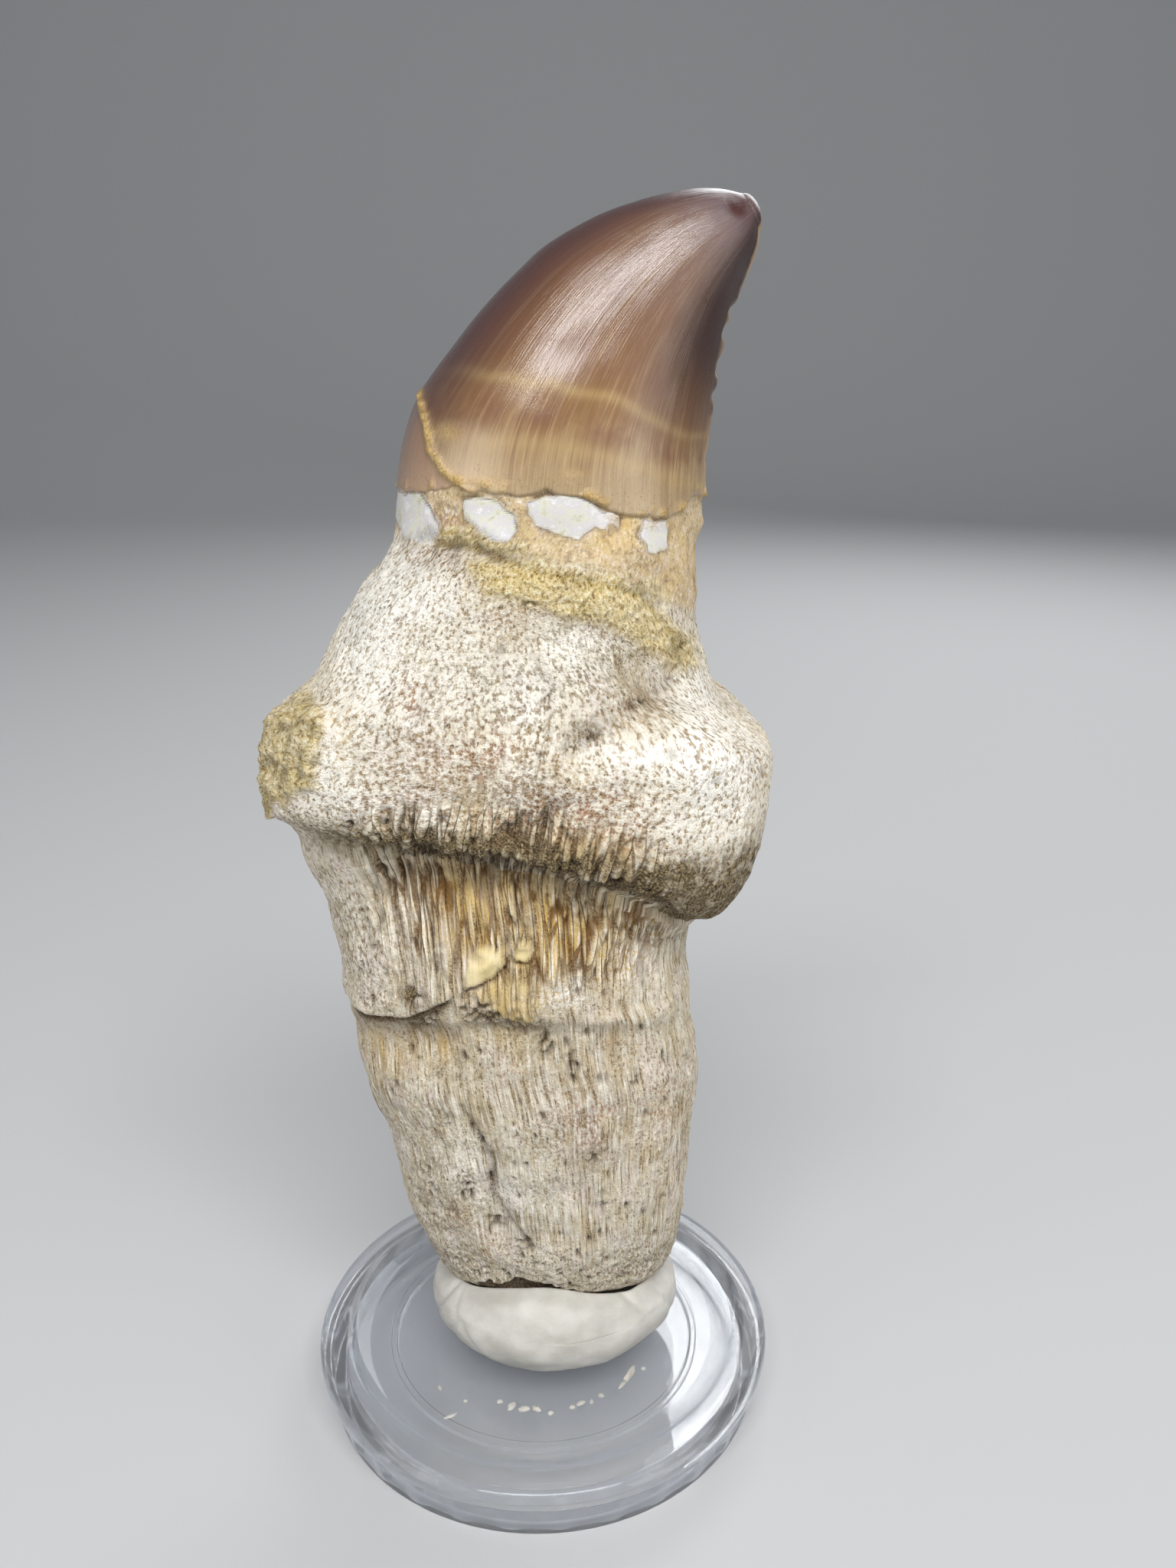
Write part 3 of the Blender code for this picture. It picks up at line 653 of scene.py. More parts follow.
# Darkness in hollows: partly painted shade (deeper where the surface is sunk, under the ledge, under the lap
# step, round the flake and along the foot), partly dark sediment in pits and rib gaps.
lap_shade = lap * soft_step(0.25, -0.1, over_lap) * soft_step(-1.3, -0.4, over_lap)
hollow = kept_share(-small_rise / 0.5)
for shade in (0.30 * under_ledge, lap_shade, dark_holes, flake_shade, foot_gap):
    hollow = np.maximum(hollow, shade)
hollow = np.maximum(hollow * (1.0 - 0.8 * left_seam), rib_gap)
patchy = 0.5 + 0.5 * grain(shaft / 1.3, 45)
honey = stains([
    (8.2, 47, 1.8, 2.6, 0.6), (-8.6, 49, 2.8, 4, 0.4), (-5.3, 49.4, 0.9, 1.6, 1), (-3.8, 48.4, 1.4, 1.8, 1),
    (1.4, 48, 1.2, 2, 1), (4.7, 47.4, 2, 1.8, 1), (-11.9, 36.4, 2.2, 2.6, 0.8), (-7.6, 37.7, 2.4, 2, 0.9),
    (-1, 44, 3.4, 2.6, 0.7), (-6, 50, 3, 3, 0.5), (0.5, 49, 6, 4.5, 0.45), (6.8, 46.6, 2.4, 2.8, 0.8),
    (6, 43.5, 3, 3, 0.4), (-2, 52, 4, 2, 0.4), (-2.5, 39, 2, 1.5, 0.5),
], [(2, 48, 5, 4, 0.8), (-6, 42, 3, 4, 0.5), (6, 33, 3, 5, 0.4)])
honey = np.maximum(honey, 0.95 * fan)
rust = stains([
    (4.3, 31.7, 2.6, 3.6, 0.8), (10, 31.9, 2, 3, 0.7), (-1.5, 35.5, 1.6, 2, 0.5), (-3.9, 16.9, 1.6, 1.4, 0.7),
    (-6.6, 19.9, 1.6, 1.6, 0.6), (6.5, 37.5, 2, 2, 0.35), (11, 24, 2, 6, 0.3),
], [(-3, 30, 4, 5, 0.5), (8, 20, 3, 4, 0.5)])
# Grime stains: dirt, and partly painted shade in the band under the ledge.
grime_and_shade = stains([
    (-13, 45, 3, 4, 0.5), (-9.5, 29, 4, 7, 0.40), (-6, 21.5, 3, 4.5, 0.4), (9.5, 14, 4, 3, 0.5),
    (-7, 13, 4, 2, 0.6), (3.5, 50.5, 0.8, 2.4, 0.7), (-9.6, 48, 0.6, 3, 0.6), (2, 31, 5, 6, 0.3),
], [(8, 44, 4, 8, 0.5), (-8, 20, 4, 6, 0.5), (0, 14, 9, 2.5, 0.5)])
grit = stains([
    (-8.8, 42.6, 1.2, 0.9, 0.8), (-8.8, 39.4, 1.4, 1, 0.7), (-3.4, 41.2, 1.6, 1, 0.6),
    (-6.2, 35.6, 1.6, 2.2, 0.3), (9.5, 47, 3, 0.8, 0.3),
])
grit = kept_share(grit * (0.4 + 1.2 * soft_step(-0.3, 0.4, grain(shaft / 0.9, 38))))
# Bleach stains: pale weathering, and at the right of the ribs painted light in the shade under the bulge.
bleach_and_light = stains([
    (2.6, 43.4, 1.8, 1.6, 0.9), (7.8, 45.5, 2.6, 3.2, 0.75), (-0.6, 22.5, 3.5, 4, 0.35), (-1, 31, 2, 3, 0.15),
    (-2.4, 23.6, 1.2, 1.6, 0.6), (-6, 27, 2.2, 3, 0.4), (-9.5, 48.6, 3.4, 4.5, 0.5),
], [(0, 36, 6, 8, 0.35)])
open_patch = soft_step(-0.4, 0.4, grain(shaft / 2.8, 39))
spongy = knobbly + left_seam + left_crumb + 0.6 * open_patch * (1.0 - ribbed)
fibrous = kept_share(0.18 + 0.82 * ribbed * (0.45 + 0.55 * broken) + 0.4 * fan - knobbly)
shaft_marks = {"growth": growth, "hollow": hollow, "honey": honey * (0.6 + 0.6 * patchy),
               "rust": rust * (0.4 + 0.9 * patchy), "grime_and_shade": grime_and_shade, "bleach_and_light": bleach_and_light, "olive": grit,
               "gloss": 0.7 * flake + 0.25 * fan * (1.0 - flake), "spongy": kept_share(spongy),
               "fibrous": fibrous * (1.0 - flake) * (1.0 - left_seam) * (1.0 - left_crumb)}
shaft = raise_skin(shaft, rise)
root_shaft = skin("root_shaft", shaft, (1.4, 0.0, 9.0), shaft[-1].mean(axis=0), shaft_marks)


def mark(name):
    return add_node("Attribute", {}, attribute_name=name).outputs["Fac"]


def times(*values):
    """Values multiplied one after another, each product kept from 0 to 1."""
    product = values[0]
    for value in values[1:]:
        product = add_node("Math", {0: product, 1: value}, operation="MULTIPLY", use_clamp=True).outputs[0]
    return product


def less(first, second):
    return add_node("Math", {0: first, 1: second}, operation="SUBTRACT", use_clamp=True).outputs[0]


def larger(first, second):
    return add_node("Math", {0: first, 1: second}, operation="MAXIMUM").outputs[0]


def cells(sizes, feature="F1"):
    """Uneven cells of these sizes in the bone."""
    return add_node("TexVoronoi", {"Vector": scaled(growth_at, sizes), "Scale": 1.0}, feature=feature).outputs


def own_number(cell):
    return add_node("SeparateColor", {"Color": cell["Color"]}).outputs[0]


finish, shader = new_finish("fossil_bone")
bone = finish               # the swelling has the same one
growth_at = add_node("Attribute", {}, attribute_name="growth").outputs["Vector"]
cloud = mottled(growth_at, (2.6, 2.6, 4.2), 5.0, 0.62)
streak = mottled(growth_at, (0.8, 0.8, 9.0), 4.0, 0.6)
fibre = mottled(growth_at, (0.25, 0.25, 3.6), 3.0, 0.55)
crumb = mottled(growth_at, (0.27, 0.27, 0.38), 4.0, 0.62)
fleck = mottled(growth_at, (0.14, 0.14, 0.18), 2.0, 0.6)
blotch = mottled(growth_at, (1.3, 1.3, 1.0), 5.0, 0.68)
hollow, honey, rust, grime_and_shade, bleach_and_light, gloss = [
    mark(name) for name in ("hollow", "honey", "rust", "grime_and_shade", "bleach_and_light", "gloss")]
spongy, fibrous, olive, neck, sandy, chalk = [
    mark(name) for name in ("spongy", "fibrous", "olive", "neck", "sand", "chalk")]
rough_part = less(1.0, larger(chalk, sum_of(gloss, neck, 0.5)))
bony = less(rough_part, times(sandy, 0.8))
weave = add_node("Mix", {0: spongy, 2: fibre, 3: crumb}, data_type="FLOAT").outputs[0]
pore_cell = cells((0.36, 0.36, 0.52))
pore_number = own_number(pore_cell)
pore = times(faded(pore_cell["Distance"], 0.33, 0.14), faded(pore_number, 0.58, 0.72), spongy)
strand_number = own_number(cells((0.6, 0.6, 5.0)))
slit_width = sum_of(cells((0.6, 0.6, 5.0), "DISTANCE_TO_EDGE")["Distance"], cloud, -0.30)
slit = times(faded(slit_width, -0.06, -0.13), fibrous)

neck_colour = shades(blotch, [(0.32, 120, 90, 54), (0.42, 168, 140, 94), (0.50, 190, 166, 118),
                              (0.58, 188, 163, 130), (0.68, 208, 196, 172)])
own_shade = shades(strand_number, [(0.1, 210, 182, 126), (0.35, 234, 218, 178), (0.6, 242, 234, 208),
                                   (0.85, 222, 203, 158)])
own_tint = shades(pore_number, [(0.1, 216, 202, 168), (0.3, 236, 229, 216), (0.5, 214, 208, 190),
                                (0.7, 236, 218, 202), (0.9, 202, 190, 160)])
# Painted light and shade on the fine relief: paler on its tops, brown in its dips and pores, with some brown
# sediment in the pores.
pale_top = times(faded(weave, 0.52, 0.66), faded(grime_and_shade, 0.0, 1.0, 0.75, 0.35), rough_part)
brown = times(faded(weave, 0.48, 0.38), faded(bleach_and_light, 0.0, 1.0, 0.9, 0.62))
brown = times(larger(brown, times(pore, 0.8)), bony)
brown_colour = shades(fleck, [(0.36, 96, 78, 54), (0.5, 152, 131, 98), (0.62, 188, 170, 140)])
# Dark sediment colour, also used as painted shade in slits and hollows.
grit_and_shade_colour = shades(fleck, [(0.36, 34, 27, 18), (0.50, 68, 54, 36), (0.66, 134, 112, 82)])
sand_colour = shades(crumb, [(0.34, 124, 98, 56), (0.43, 204, 178, 112), (0.53, 236, 214, 154),
                             (0.66, 252, 242, 208)])
olive_colour = shades(fleck, [(0.34, 50, 41, 27), (0.46, 88, 74, 50), (0.56, 122, 106, 76),
                              (0.68, 160, 146, 112)])
chalk_colour = shades(blotch, [(0.34, 176, 172, 152), (0.44, 198, 197, 182), (0.54, 190, 186, 188),
                               (0.66, 214, 212, 206)])
colour = laid_over(
    shades(cloud, [(0.32, 164, 150, 122), (0.43, 196, 183, 156), (0.53, 214, 205, 188),
                   (0.61, 206, 192, 180), (0.72, 232, 226, 213)]),
    ((188, 158, 112), times(faded(streak, 0.44, 0.30), 0.5)),
    ((236, 230, 214), times(faded(streak, 0.54, 0.68), 0.6)),
    (neck_colour, neck),
    (own_shade, times(fibrous, 0.6)),
    ((206, 170, 88), times(honey, faded(streak, 0.66, 0.44, 0.35, 0.95))),
    (own_tint, times(spongy, rough_part, 0.4)),
    # grime layer: dirt and painted shade
    ((122, 108, 88), times(grime_and_shade, faded(crumb, 0.57, 0.43))),
    ((162, 112, 84), times(rust, faded(crumb, 0.54, 0.40))),
    # bleach layer: pale weathering and painted light
    ((250, 246, 236), times(bleach_and_light, faded(crumb, 0.38, 0.52))),
    # pale tops and brown dips: painted light and painted shade on the fine relief
    ((244, 238, 224), pale_top),
    (brown_colour, brown),
    # slits and hollows: dark sediment and painted shade, darker honey-brown where honey is
    (grit_and_shade_colour, times(slit, 0.85)),
    (grit_and_shade_colour, times(hollow, 0.95)),
    ((142, 98, 42), times(honey, larger(slit, hollow), 0.65)),
    (sand_colour, times(sandy, 0.94)),
    (olive_colour, olive),
    (chalk_colour, chalk),
    ((214, 199, 146), times(gloss, faded(blotch, 0.38, 0.54, 0.5, 1.0))))
height = times(sum_of(0.0, weave, 0.36), bony)
for relief, share in ((times(fleck, rough_part), 0.16), (times(pore, bony), -0.14),
                      (times(crumb, sandy), 0.55), (times(slit, rough_part), -0.14)):
    height = sum_of(height, relief, share)
join(shader, {"Base Color": colour, "Roughness": faded(rough_part, 1.0, 0.0, 0.88, 0.40),
              "Specular IOR Level": 0.3, "Normal": bumps(height, 1.0, MM)})
root_shaft.data.materials.append(bone)
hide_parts("tooth")
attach(root_shaft, "root")


# The root swelling: the bulge of spongy bone that held the tooth in the jaw, weathered white and pitted,
# with a fringe of broken fibres over the shaft. Its whitest patches are partly painted light, and the dark
# band under the fringe is painted shade. Sandy matrix still sticks to its left side and its neck, where white
# chips of filler are set in it. It is one with the shaft, and goes up under the enamel.
swelling_foot_ring, swelling_top_ring = 12.75, 29.7
swelling_places = even_places(swelling_foot_ring, swelling_top_ring, 0.2)
swelling_angles = even_angles(480, 18.0, 13.0, root_squareness)
swelling, place, angle, across, deep, along = tooth_form(swelling_places, swelling_angles)
growth = bone_growth(across, deep, along)
x, z = swelling[..., 0], swelling[..., 2]
front, back = soft_step(0.0, 0.25, -deep), soft_step(0.0, 0.25, deep)
crumbly = grain(swelling / 0.7, 33)
gritty = soft_step(-0.30, 0.30, grain(swelling / 0.42, 56))
ragged_x, ragged_z = x + 0.22 * grain(swelling / 0.8, 53), z + 0.22 * grain(swelling / 0.8, 54)


def edge_height(on_front, on_back):
    """Height of an edge at each point of the skin in hand, from its corners on the front and the back."""
    return np.where(deep < 0.0, np.interp(x, *zip(*on_front)), np.interp(x, *zip(*on_back)))


ledge_line = [
    (-22, 56.6), (-18.6, 56.8), (-16.4, 57.3), (-14.6, 56.2), (-11.6, 54.7), (-8.9, 54.5), (-6, 54.8),
    (-2.8, 55.3), (0, 54.6), (1.8, 54.5), (3.6, 53.5), (5.5, 53.2), (7.1, 53), (9.5, 51.7), (11.3, 47.7),
    (14, 46.8), (18, 48.5),
]
back_ledge_line = [(-22, 56.6), (-14, 54), (-6, 53.6), (2, 53.2), (9, 51), (13, 48.6), (18, 48.5)]
over_ledge = z - edge_height(ledge_line, back_ledge_line)
gape = 0.12 * soft_step(2.0, 0.6, over_ledge) * soft_step(-0.6, 0.0, over_ledge)
coarse, strand_own = strands(growth, slit_gap, slit_long, 23, gape)
over_ledge = over_ledge + 0.7 * (strand_own - 0.5)
combed = soft_step(-14.5, -9.0, x) * (front * soft_step(11.0, 8.5, x) + 1.0 - front)
fringe_end = over_ledge + 0.8 * grain(swelling / 2.0, 55)
fringe = combed * soft_step(-1.5, 0.0, over_ledge) * soft_step(5.5, 2.0, fringe_end)
underside = soft_step(0.3, -0.2, over_ledge)
# Painted shadow: a dark band at the foot of the ledge, where its overhang shades the fibres.
gap_foot = over_ledge + 0.6 * grain(swelling / 1.2, 88)
ledge_gap = soft_step(0.1, -0.3, over_ledge) * soft_step(-3.4, -1.2, gap_foot)
ledge_gap *= 0.08 + 0.92 * soft_step(-12.5, -7.5, x)
left_seam = front * soft_step(-11.0, -13.5, x) * bell(place - seam_ring, 0.8)

block_edge = [
    (-24, 62.9), (-18.6, 62.8), (-17.4, 64.3), (-15.4, 65.2), (-14.2, 64.6), (-13.8, 62.7), (-14.5, 61.3),
    (-14.2, 59.2), (-15.6, 58.5), (-16.8, 57.6), (-18.5, 56.6), (-24, 55),
]
block_x = ragged_x + 0.7 * grain(swelling / 1.5, 89)
block_z = ragged_z + (0.5 + 1.6 * soft_step(-16.5, -19.5, x)) * grain(swelling / 2.1, 88)
block_back = 174.0 + 11.0 * ((z - 59.4) / 3.2) ** 2 + 13.0 * grain(swelling / 2.1, 87)
block_round = soft_step(block_back, block_back + 5.0, angle) * soft_step(217.0, 213.0, angle)
block = soft_step(-0.2, 0.7, to_line(block_edge, block_x, block_z, closed=True))
block *= front + (1.0 - front) * block_round
crust_edge = [
    (-4.2, 74.6), (-0.3, 75), (3, 74.2), (5.9, 73.8), (7.7, 72.4), (9.4, 70.4), (11.4, 68.4), (12.4, 66.2),
    (10, 66.6), (6.4, 69.4), (4.1, 70.6), (1.9, 71), (-0.3, 72), (-2.8, 72.6),
]
crust = front * soft_step(-0.5, 0.7, to_line(crust_edge, ragged_x, ragged_z, closed=True))
neck_foot = [(-10, 74.9), (-5, 75.2), (0, 74.5), (3, 73.9), (6, 73.3), (8, 71.6), (12, 69.5)]
back_neck_foot = [(-10, 74.6), (-3, 75.2), (4, 74), (12, 71)]
neck = soft_step(0.0, 0.9, z - edge_height(neck_foot, back_neck_foot) + 0.3 * crumbly)
neck_groove = [
    (-6.3, 75.5), (-3.9, 75.6), (-2.1, 75), (-0.3, 74.4), (1.4, 73.8), (3, 73.5), (4.8, 73.2), (7.7, 72),
    (8.9, 70.4), (9.6, 69.2), (10.7, 67.9),
]
back_groove = [(-9, 74.6), (-4, 75.3), (0, 74.8), (5, 74), (11, 71)]
neck_line = front * bell(to_line(neck_groove, ragged_x, ragged_z), 0.33)
neck_line = np.maximum(neck_line, back * bell(to_line(back_groove, ragged_x, ragged_z), 0.35))
chip_edges = [
    [(-9.8, 78.3), (-7.4, 78.6), (-6.4, 77.7), (-6.1, 76.7), (-5.9, 75.9), (-7.3, 75.4), (-8.8, 75.5),
     (-9.8, 76.2)],
    [(-4.2, 78.4), (-2.9, 78.7), (-1.7, 78.3), (-0.5, 77.4), (-0.5, 76.5), (-1.3, 75.9), (-2.4, 75.9),
     (-3.4, 76.7), (-4.3, 77.3)],
    [(0, 78.4), (1.2, 78.9), (3.4, 78.9), (4.3, 78.2), (6.1, 77.5), (5.9, 76.6), (4.4, 76.8), (3.4, 75.9),
     (1.8, 76.3), (0.5, 76.9), (0, 77.6)],
    [(7.5, 77), (9.4, 76.8), (9.4, 74.9), (7.9, 75), (7.5, 75.9)],
]
back_chip_edges = [
    [(-6, 78), (-3, 78.3), (-2.2, 76.9), (-3.4, 75.9), (-5.8, 76.1)],
    [(1, 78.1), (4.6, 78), (5.4, 76.6), (3.6, 75.7), (1.2, 76.2)],
]
slow_x, slow_z = x + 0.26 * grain(swelling / 0.9, 57), z + 0.26 * grain(swelling / 0.9, 58)
chalk, chip_rim = np.zeros(x.shape), np.zeros(x.shape)
for side, edges in ((front, chip_edges), (back, back_chip_edges)):
    for edge in edges:
        in_chip = to_line(edge, slow_x, slow_z, closed=True)
        chalk = np.maximum(chalk, side * soft_step(-0.08, 0.16, in_chip))
        chip_rim = np.maximum(chip_rim, side * bell(in_chip + 0.10, 0.16))
chip_rim *= soft_step(-0.4, 0.4, grain(swelling / 0.9, 61))

fine, _ = strands(growth, 0.7, 11.0, 63)
open_share = 0.22 + 0.40 * soft_step(-0.2, 0.5, grain(growth / 3.0, 66))
pit = pits(growth, 0.6, 0.75, open_share, 67)
big_pit = pits(growth, 1.4, 1.6, 0.09, 70)
crusty = grain(growth / [0.55, 0.55, 0.65], 71)
neck_strip = neck * soft_step(1.5, 0.6, to_line(neck_groove, ragged_x, ragged_z) + 0.5 * crumbly)
sandy = np.maximum(np.maximum(block, crust), 0.9 * neck_strip)
bony = (1.0 - np.maximum(sandy, chalk)) * (1.0 - neck)
hollow_line = [(10.2, 66), (8.3, 65.1), (5.9, 64.7), (4.1, 63.4), (3, 62.8)]
ridge_line = [(3.4, 60.2), (5, 61.2), (7.4, 61.9), (10, 62.2), (13, 61.6)]
long_hollow = front * bell(to_line(hollow_line, ragged_x, ragged_z), 0.7)
wide_hollow = front * bell(to_line(hollow_line, x, z), 1.7)
ridge = front * bell(to_line(ridge_line, x, z), 1.1)
dark_holes = stains([
    (7.8, 65.2, 0.8, 0.35, 0.8), (0.9, 62.2, 0.35, 0.6, 0.8), (4.4, 63.4, 0.7, 0.4, 0.6),
    (5.9, 53, 0.9, 0.4, 1), (0.2, 71.9, 0.7, 0.4, 0.7), (-12.5, 57, 0.6, 0.5, 0.7),
    (2.6, 54.6, 1.6, 0.5, 0.6),
], [
    (-4, 60, 0.8, 0.8, 1), (6, 66, 0.7, 0.7, 0.9), (9, 56, 1, 0.6, 0.9), (-9, 68, 0.7, 0.6, 0.8),
    (1, 56, 0.6, 1, 0.9),
])
dark_holes = np.clip((dark_holes * (0.05 + gritty) - 0.2) * 1.6, 0.0, 0.9)
lined = np.maximum(soft_step(-0.2, 0.5, grain(growth / 4.0, 74)), 0.9 * stains([(0, 67.5, 6, 5, 1)]))

pit_depth, big_pit_depth, hole_depth = 0.16, 0.2, 0.5
neck_groove_depth, chip_rim_depth, sand_pit_depth = 0.36, 0.16, 0.30
small_rise = -pit_depth * (pit * (1.0 - 0.5 * fringe) * (1.0 - underside) + lined * (1.0 - fine))
small_rise -= slit_depth * np.maximum(fringe, 0.8 * underside * combed) * (1.0 - coarse)
small_rise = bony * (small_rise - big_pit_depth * big_pit - 0.07 * (1.0 - crusty)) - 0.15 * long_hollow
small_rise -= hole_depth * dark_holes + neck_groove_depth * neck_line + chip_rim_depth * chip_rim
small_rise -= sand_pit_depth * sandy * (1.0 - chalk) * pits(swelling, 0.75, 0.75, 0.55, 73)
rise = small_rise + (1.0 - chalk) * (0.17 * grain(swelling / 2.5, 44) + 0.09 * crumbly)
ridge_height, wide_hollow_depth = 0.35, 0.45
rise += ridge_height * ridge - wide_hollow_depth * wide_hollow
rise += (0.55 * front - 0.30) * block + 0.18 * crust + 0.06 * chalk
rise += 0.40 * block * grain(swelling / 1.5, 79) + 0.18 * sandy * (1.0 - chalk) * grain(swelling / 0.55, 82)
rise -= 0.5 * soft_step(0.2, -0.7, over_ledge) * soft_step(-14.0, -9.0, x)
enamel_edge = [
    (-11, 78.2), (-9.2, 78.3), (-8.2, 78.5), (-6.8, 78.7), (-5.6, 79), (-4.6, 79.3), (-3.8, 78.9), (-2.9, 79),
    (-1.3, 78.8), (0.2, 78.8), (1.2, 79.2), (2, 78.9), (3.6, 78.7), (4.4, 78.3), (5.2, 77.8), (6.9, 77.3),
    (8.2, 77.2), (9.3, 76.9), (10.4, 77.3), (11.2, 78.1), (12, 77.8), (13, 77.6),
]
back_enamel_edge = [
    (-11, 78.2), (-9.2, 78.2), (-7, 78), (-5.5, 78.5), (-3, 78.6), (-1, 78.2), (0.5, 78.7), (2.5, 78.5),
    (4.5, 78.2), (6.5, 77.9), (8.5, 77.5), (10.5, 77.9), (12, 77.7), (13, 77.6),
]
over_edge = z - edge_height(enamel_edge, back_enamel_edge) + 0.14 * crumbly
rise -= 0.9 * soft_step(0.35, 1.4, over_edge)
rise *= 1.0 - 0.85 * left_seam
rise += 0.8 * front * soft_step(-8.5, -12.5, x) * bell(place - 13.4, 0.9)
rise -= 0.9 * soft_step(13.12, 12.88, place)

# Darkness in hollows: partly painted shade (deeper where the surface is sunk, on the lip of the ledge and in
# the gap under it), partly dark sediment in pits, grooves and round the chips.
hollow = kept_share((-small_rise - 0.13) / 0.42) * (1.0 - 0.6 * sandy)
lip_shade = soft_step(1.9, 0.1, over_ledge) * soft_step(-13.5, -9.5, x) * (0.25 + 0.75 * (1.0 - coarse))
lip_shade *= bony * (1.0 - underside) * (0.55 + 0.45 * grain(swelling / 1.2, 84))
for shade in (lip_shade, ledge_gap, 0.6 * chip_rim, dark_holes, neck_line):
    hollow = np.maximum(hollow, shade)
hollow *= (1.0 - chalk) * (1.0 - 0.8 * left_seam)
patchy = 0.5 + 0.5 * grain(swelling / 1.4, 80)
# Bleach stains: white weathering, partly painted light that whitens the shoulder, the right bulge and the
# ridge under the long hollow.
bleach_and_light = stains([
    (-11.5, 68.5, 4, 5, 1), (-15, 61.5, 3, 3.5, 0.75), (-8, 72.5, 4, 2, 0.9), (7.5, 61.9, 4, 1.3, 0.7),
    (13, 60.5, 4, 2.5, 0.9), (13.8, 56.4, 3.5, 3.2, 0.7), (0.5, 66, 3.5, 4, 0.55), (3.5, 69, 2.6, 1.6, 0.6),
    (12, 65, 1.6, 3, 0.7), (-12.5, 58.8, 3, 2, 0.55), (-5, 67.5, 3, 4, 0.4), (8, 57, 3, 2, 0.35),
    (-6.5, 57.5, 2, 1.5, 0.4),
], [(-8, 67, 5, 5, 0.9), (8, 62, 5, 5, 0.8), (0, 60, 5, 4, 0.5)])
rust = stains([
    (-1.3, 71.2, 1.8, 0.9, 0.7), (-7.9, 66, 1, 1.2, 0.9), (-4.9, 61.9, 3, 1.8, 0.85),
    (-2.2, 62.6, 2, 1.5, 0.7),
    (1.4, 58.3, 3.2, 1.6, 0.8), (4.6, 58.4, 2.4, 1.8, 0.8), (7, 57.4, 2.2, 2.2, 0.8), (-9, 58.5, 3, 2, 0.5),
    (-7.5, 70.3, 1.6, 1.4, 0.4), (7.6, 64.8, 1.6, 1, 0.6), (15, 58, 2, 3, 0.35), (-1.5, 57.3, 4, 1, 0.7),
    (9, 54.5, 3, 1.6, 0.5), (-6.3, 76.6, 0.8, 1, 0.9), (-4.9, 76.9, 0.5, 0.8, 0.9), (-6, 74.9, 3, 0.8, 0.7),
    (3, 73.6, 5, 0.7, 0.6), (11, 62.5, 2, 1, 0.3),
], [(0, 58, 6, 2, 0.6), (-6, 63, 3, 2, 0.5), (7, 68, 2, 2, 0.5)])
honey = stains([
    (4.4, 55.6, 3.6, 1.5, 0.75), (-2.5, 56, 2, 0.8, 0.4), (-13, 64, 2, 2, 0.6), (-2, 73.3, 4, 1.4, 0.5),
    (-15.2, 66, 1.6, 2, 0.5), (-12, 60.8, 1.6, 1.6, 0.3),
], [(3, 55.5, 5, 1.5, 0.6), (-12, 62, 3, 3, 0.5)])
# Grime stains: dirt, and partly painted shade along the ledge line and over the middle of the front.
grime_and_shade = stains([
    (13.5, 48.6, 4, 3, 0.9), (4.2, 63.6, 2, 1, 0.6), (-8, 65.8, 2, 2.4, 0.5), (0, 59.8, 3.5, 1.4, 0.5),
    (-4, 57.2, 5, 1.2, 0.55), (9.5, 65, 3, 1.4, 0.45), (3, 66.8, 2.6, 2, 0.35), (-16, 55.8, 3, 1.4, 0.7),
    (-10.5, 55.8, 4, 1.2, 0.6), (9, 52.6, 3.6, 1.4, 0.7), (-1.5, 65, 4.5, 5, 0.7), (5.5, 68.2, 3, 2, 0.5),
    (-5.2, 77.4, 0.8, 0.9, 0.8), (-1, 76.2, 0.9, 0.7, 0.5), (-6.5, 74.9, 2.4, 1, 0.6), (-11, 59, 3, 3, 0.35),
    (-8, 61, 4, 3, 0.3), (6, 59.5, 4, 1.5, 0.35),
], [(12, 50, 5, 3, 0.8), (-2, 66, 3, 3, 0.4), (-14, 56, 4, 2, 0.7)])
grit = stains([
    (10.2, 53.2, 2.2, 1.8, 0.8), (13.2, 50.4, 3.2, 2.4, 1), (12, 47.6, 3.6, 2.4, 1), (8, 52.8, 2.6, 1.2, 0.8),
    (15.8, 52.6, 2, 2, 0.6), (3, 54.8, 4, 1.3, 0.8), (-3, 55.8, 3, 1, 0.7), (-13.4, 55.4, 2.2, 1.6, 0.6),
    (-10.8, 55.6, 1.8, 0.9, 0.6), (-7.4, 55.9, 2.6, 1, 0.8), (4, 63.8, 1.6, 0.6, 0.5),
    (10.4, 68, 0.7, 1, 0.5),
])
grit = grit * (0.65 + 0.8 * soft_step(-0.35, 0.35, grain(swelling / 0.5, 85)))
block_sand = block * (0.15 + 0.45 * soft_step(-0.1, 0.5, grain(swelling / 0.9, 86)))
olive = block_sand + 0.5 * neck_strip * soft_step(-0.5, 0.3, crumbly) + grit
yellow_neck = stains([
    (6.6, 76.8, 1, 0.9, 0.7), (5.9, 75.6, 1.4, 0.6, 0.5), (0.6, 75.8, 1.4, 0.5, 0.3), (10.6, 74, 0.7, 2, 0.4),
])
chalk *= 1.0 - 0.75 * stains([(6, 77.4, 0.7, 0.8, 1), (8.3, 76.6, 0.8, 0.4, 0.7)])
